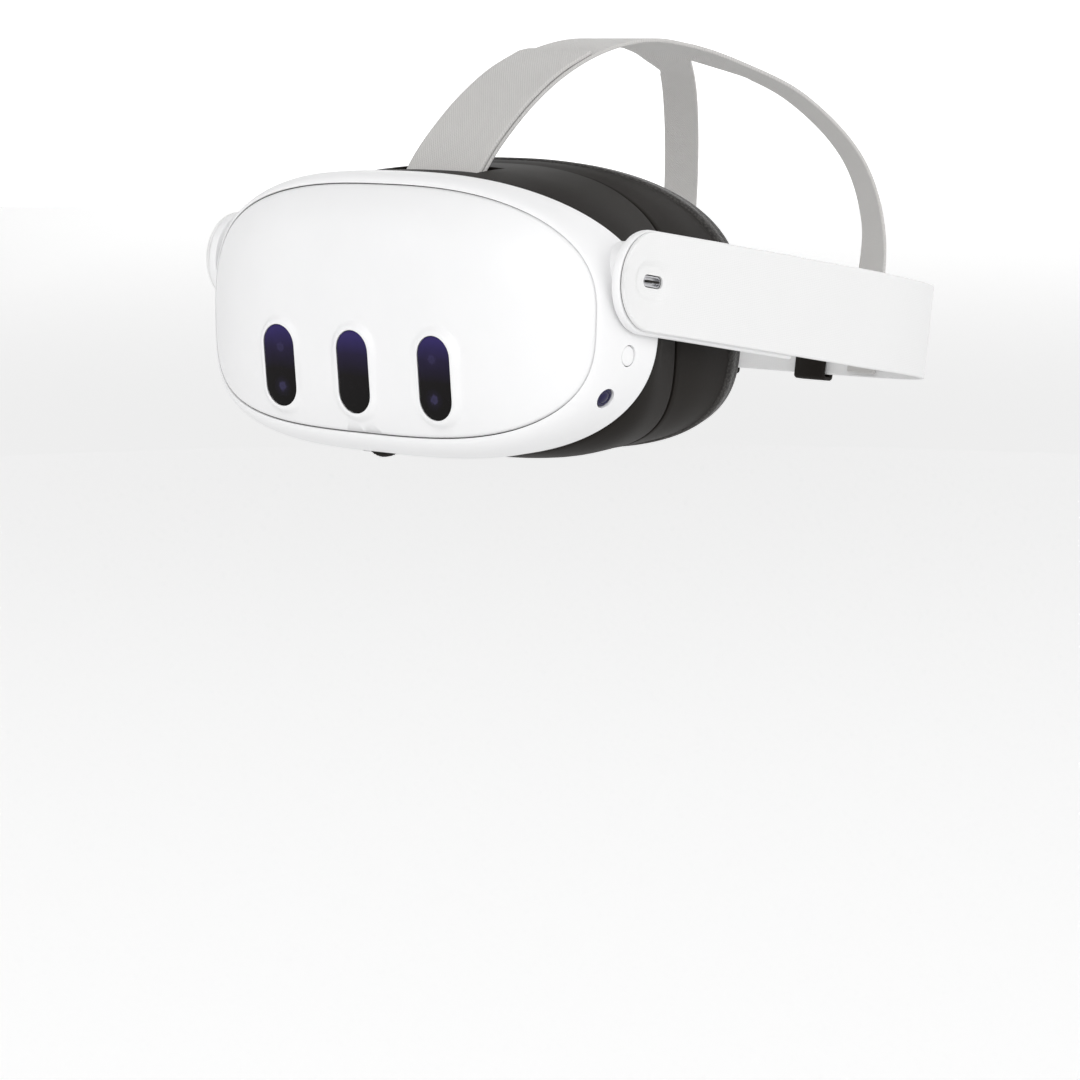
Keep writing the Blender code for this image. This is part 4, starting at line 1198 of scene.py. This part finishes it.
def make_top_strap():
    inner, outer = strap_edges()
    columns = 8
    rows = []
    for near, far in zip(inner, outer):
        rows.append([near.lerp(far, i / columns) for i in range(columns + 1)])
    points, faces, lengths = grid_faces(rows)
    mirrored = [Vector((-p[0], p[1], p[2])) for p in points]
    flipped = [tuple(len(points) + i for i in face[::-1]) for face in faces]
    back = []
    for i in range(0, len(lengths), 4):
        back += [(a, -b) for a, b in reversed(lengths[i : i + 4])]
    whole = [Vector(p) for p in points] + mirrored
    strap = made("strap_over_head", whole, faces + flipped, "grey_webbing", None, (), lengths + back, 60.0)
    finish_strap(strap, ("top_strap",))

    path = spline([(0.0, y, z) for y, z in STRAP_SIDE[:-1]], 8)
    rows = []
    corner = 3.0
    length = sum((b - a).length for a, b in zip(path, path[1:]))
    travelled = 0.0
    for before, point, after in neighbours(path):
        travelled += (point - before).length
        direction = (after - before).normalized()
        lifted = point + Vector((0.0, -direction.z, direction.y)) * (STRAP_THICK + 0.4)
        left_over = max(corner - (length - travelled), 0.0)
        half = STRAP_HALF_WIDTH - (corner - math.sqrt(max(corner**2 - left_over**2, 0.0)))
        rows.append([(half * (2.0 * i / 14 - 1.0), lifted.y, lifted.z) for i in range(15)])
    points, faces, lengths = grid_faces(rows)
    tab = made("strap_free_end", points, faces, "grey_webbing", None, (), lengths, 60.0)
    finish_strap(tab, ("top_strap_tab",))


def finish_strap(obj, stands_for):
    wall = obj.modifiers.new("wall", "SOLIDIFY")
    wall.thickness = STRAP_THICK * MM
    wall.offset = 0.0
    wall.use_even_offset = True
    fixed(softened(obj, 0.45, 3, 50.0), 60.0)
    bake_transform(obj)
    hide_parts(*stands_for)


# -------- optics


def make_optics():
    """Tubes, and lenses with a domed face towards the eye."""
    outside, inside = TUBE_RADIUS, TUBE_RADIUS - 2.2
    dome = 1.2
    for word in ("left", "right"):
        low, high = node_box(f"lens_tube_{word}")
        x = (low.x + high.x) / 2
        body = f"lens_{word}"
        length = high.y - low.y
        profile = [(inside, 0.0), (outside, 0.0), (outside, length - 1.0), (outside - 1.2, length)]
        profile += [(outside - 1.7, length), (inside, length - 1.0), (inside, length - 2.4), (inside, 4.0)]
        finish = ("black_plastic", body, (f"lens_tube_{word}",), True, 128)
        lathe(f"tube_{word}", profile, (x, low.y - ORIGIN.y, EYE_Z), (0, 1, 0), *finish)
        low, high = node_box(f"lens_{word}")
        radius = (high.x - low.x) / 2
        profile = []
        for angle in np.linspace(0.0, dome, 16):
            height = 3.0 + 4.0 * (math.cos(angle) - math.cos(dome)) / (1 - math.cos(dome))
            profile.append((radius * math.sin(angle) / math.sin(dome), height))
        profile += [(radius, 0.0), (radius * 0.7, -0.9), (0.0, -1.5)]
        finish = ("lens_glass", body, (f"lens_{word}",))
        lathe(f"eyepiece_{word}", profile, (x, 61.0, EYE_Z), (0, 1, 0), *finish)


# -------- backdrop


def backdrop_look():
    """Matt white that glows a little, less so towards the wearer's right."""
    look = Look("floor", (0.6, 0.6, 0.6), 0.8, Specular_IOR_Level=0.1, Emission_Color=(1.0, 1.0, 1.0, 1.0))
    coords = look.coords()
    tones = ((0.3, (0.59, 0.59, 0.59)), (0.7, (0.61, 0.61, 0.61)))
    look.link(look.ramp(look.noise(coords, 3.0), tones), "Base Color")
    rightwards = look.vector("DOT_PRODUCT", coords, (-0.8, -0.6, 0.0))
    look.link(look.between(rightwards, 0.85, 0.3, 0.35, 1.7), "Emission Strength")
    return look.material


def make_backdrop():
    """Round floor that curves up into a wall all round, just under the headset."""
    floor_radius, bend, wall_height = 1.6, 1.2, 2.4
    profile = [(floor_radius, 0.0)]
    for i in range(1, 11):
        angle = math.pi / 20 * i
        profile.append((floor_radius + bend * math.sin(angle), bend - bend * math.cos(angle)))
    profile.append((floor_radius + bend, wall_height))
    rows = [[(x, y, height - 0.0001) for x, y in circle(radius, 96)] for radius, height in profile]
    points, faces, _ = grid_faces(rows, False, True)
    mesh = bpy.data.meshes.new("floor")
    mesh.from_pydata(points, [], faces + [row_face(rows, 0)])
    mesh.shade_smooth()
    mesh.materials.append(backdrop_look())
    floor = bpy.data.objects.new("floor", mesh)
    bpy.context.scene.collection.objects.link(floor)


# -------- everything


make_front_cover()
make_seam_shade_strip()
make_windows()
make_shell()
make_side_details()
make_wheel()
make_housing()
make_interface()
make_head_band()
make_arms()
make_arm_gap_shades()
make_port_details()
make_sliders()
make_top_strap()
make_optics()
make_backdrop()

# the CAD nodes that stay take their slot's material
for part in frame["record"]["subparts"]:
    node = frame["nodes"][part["node"]]
    if node.hide_render:
        continue
    node.data.materials.clear()
    node.data.materials.append(LOOKS[part["material_slot"]])
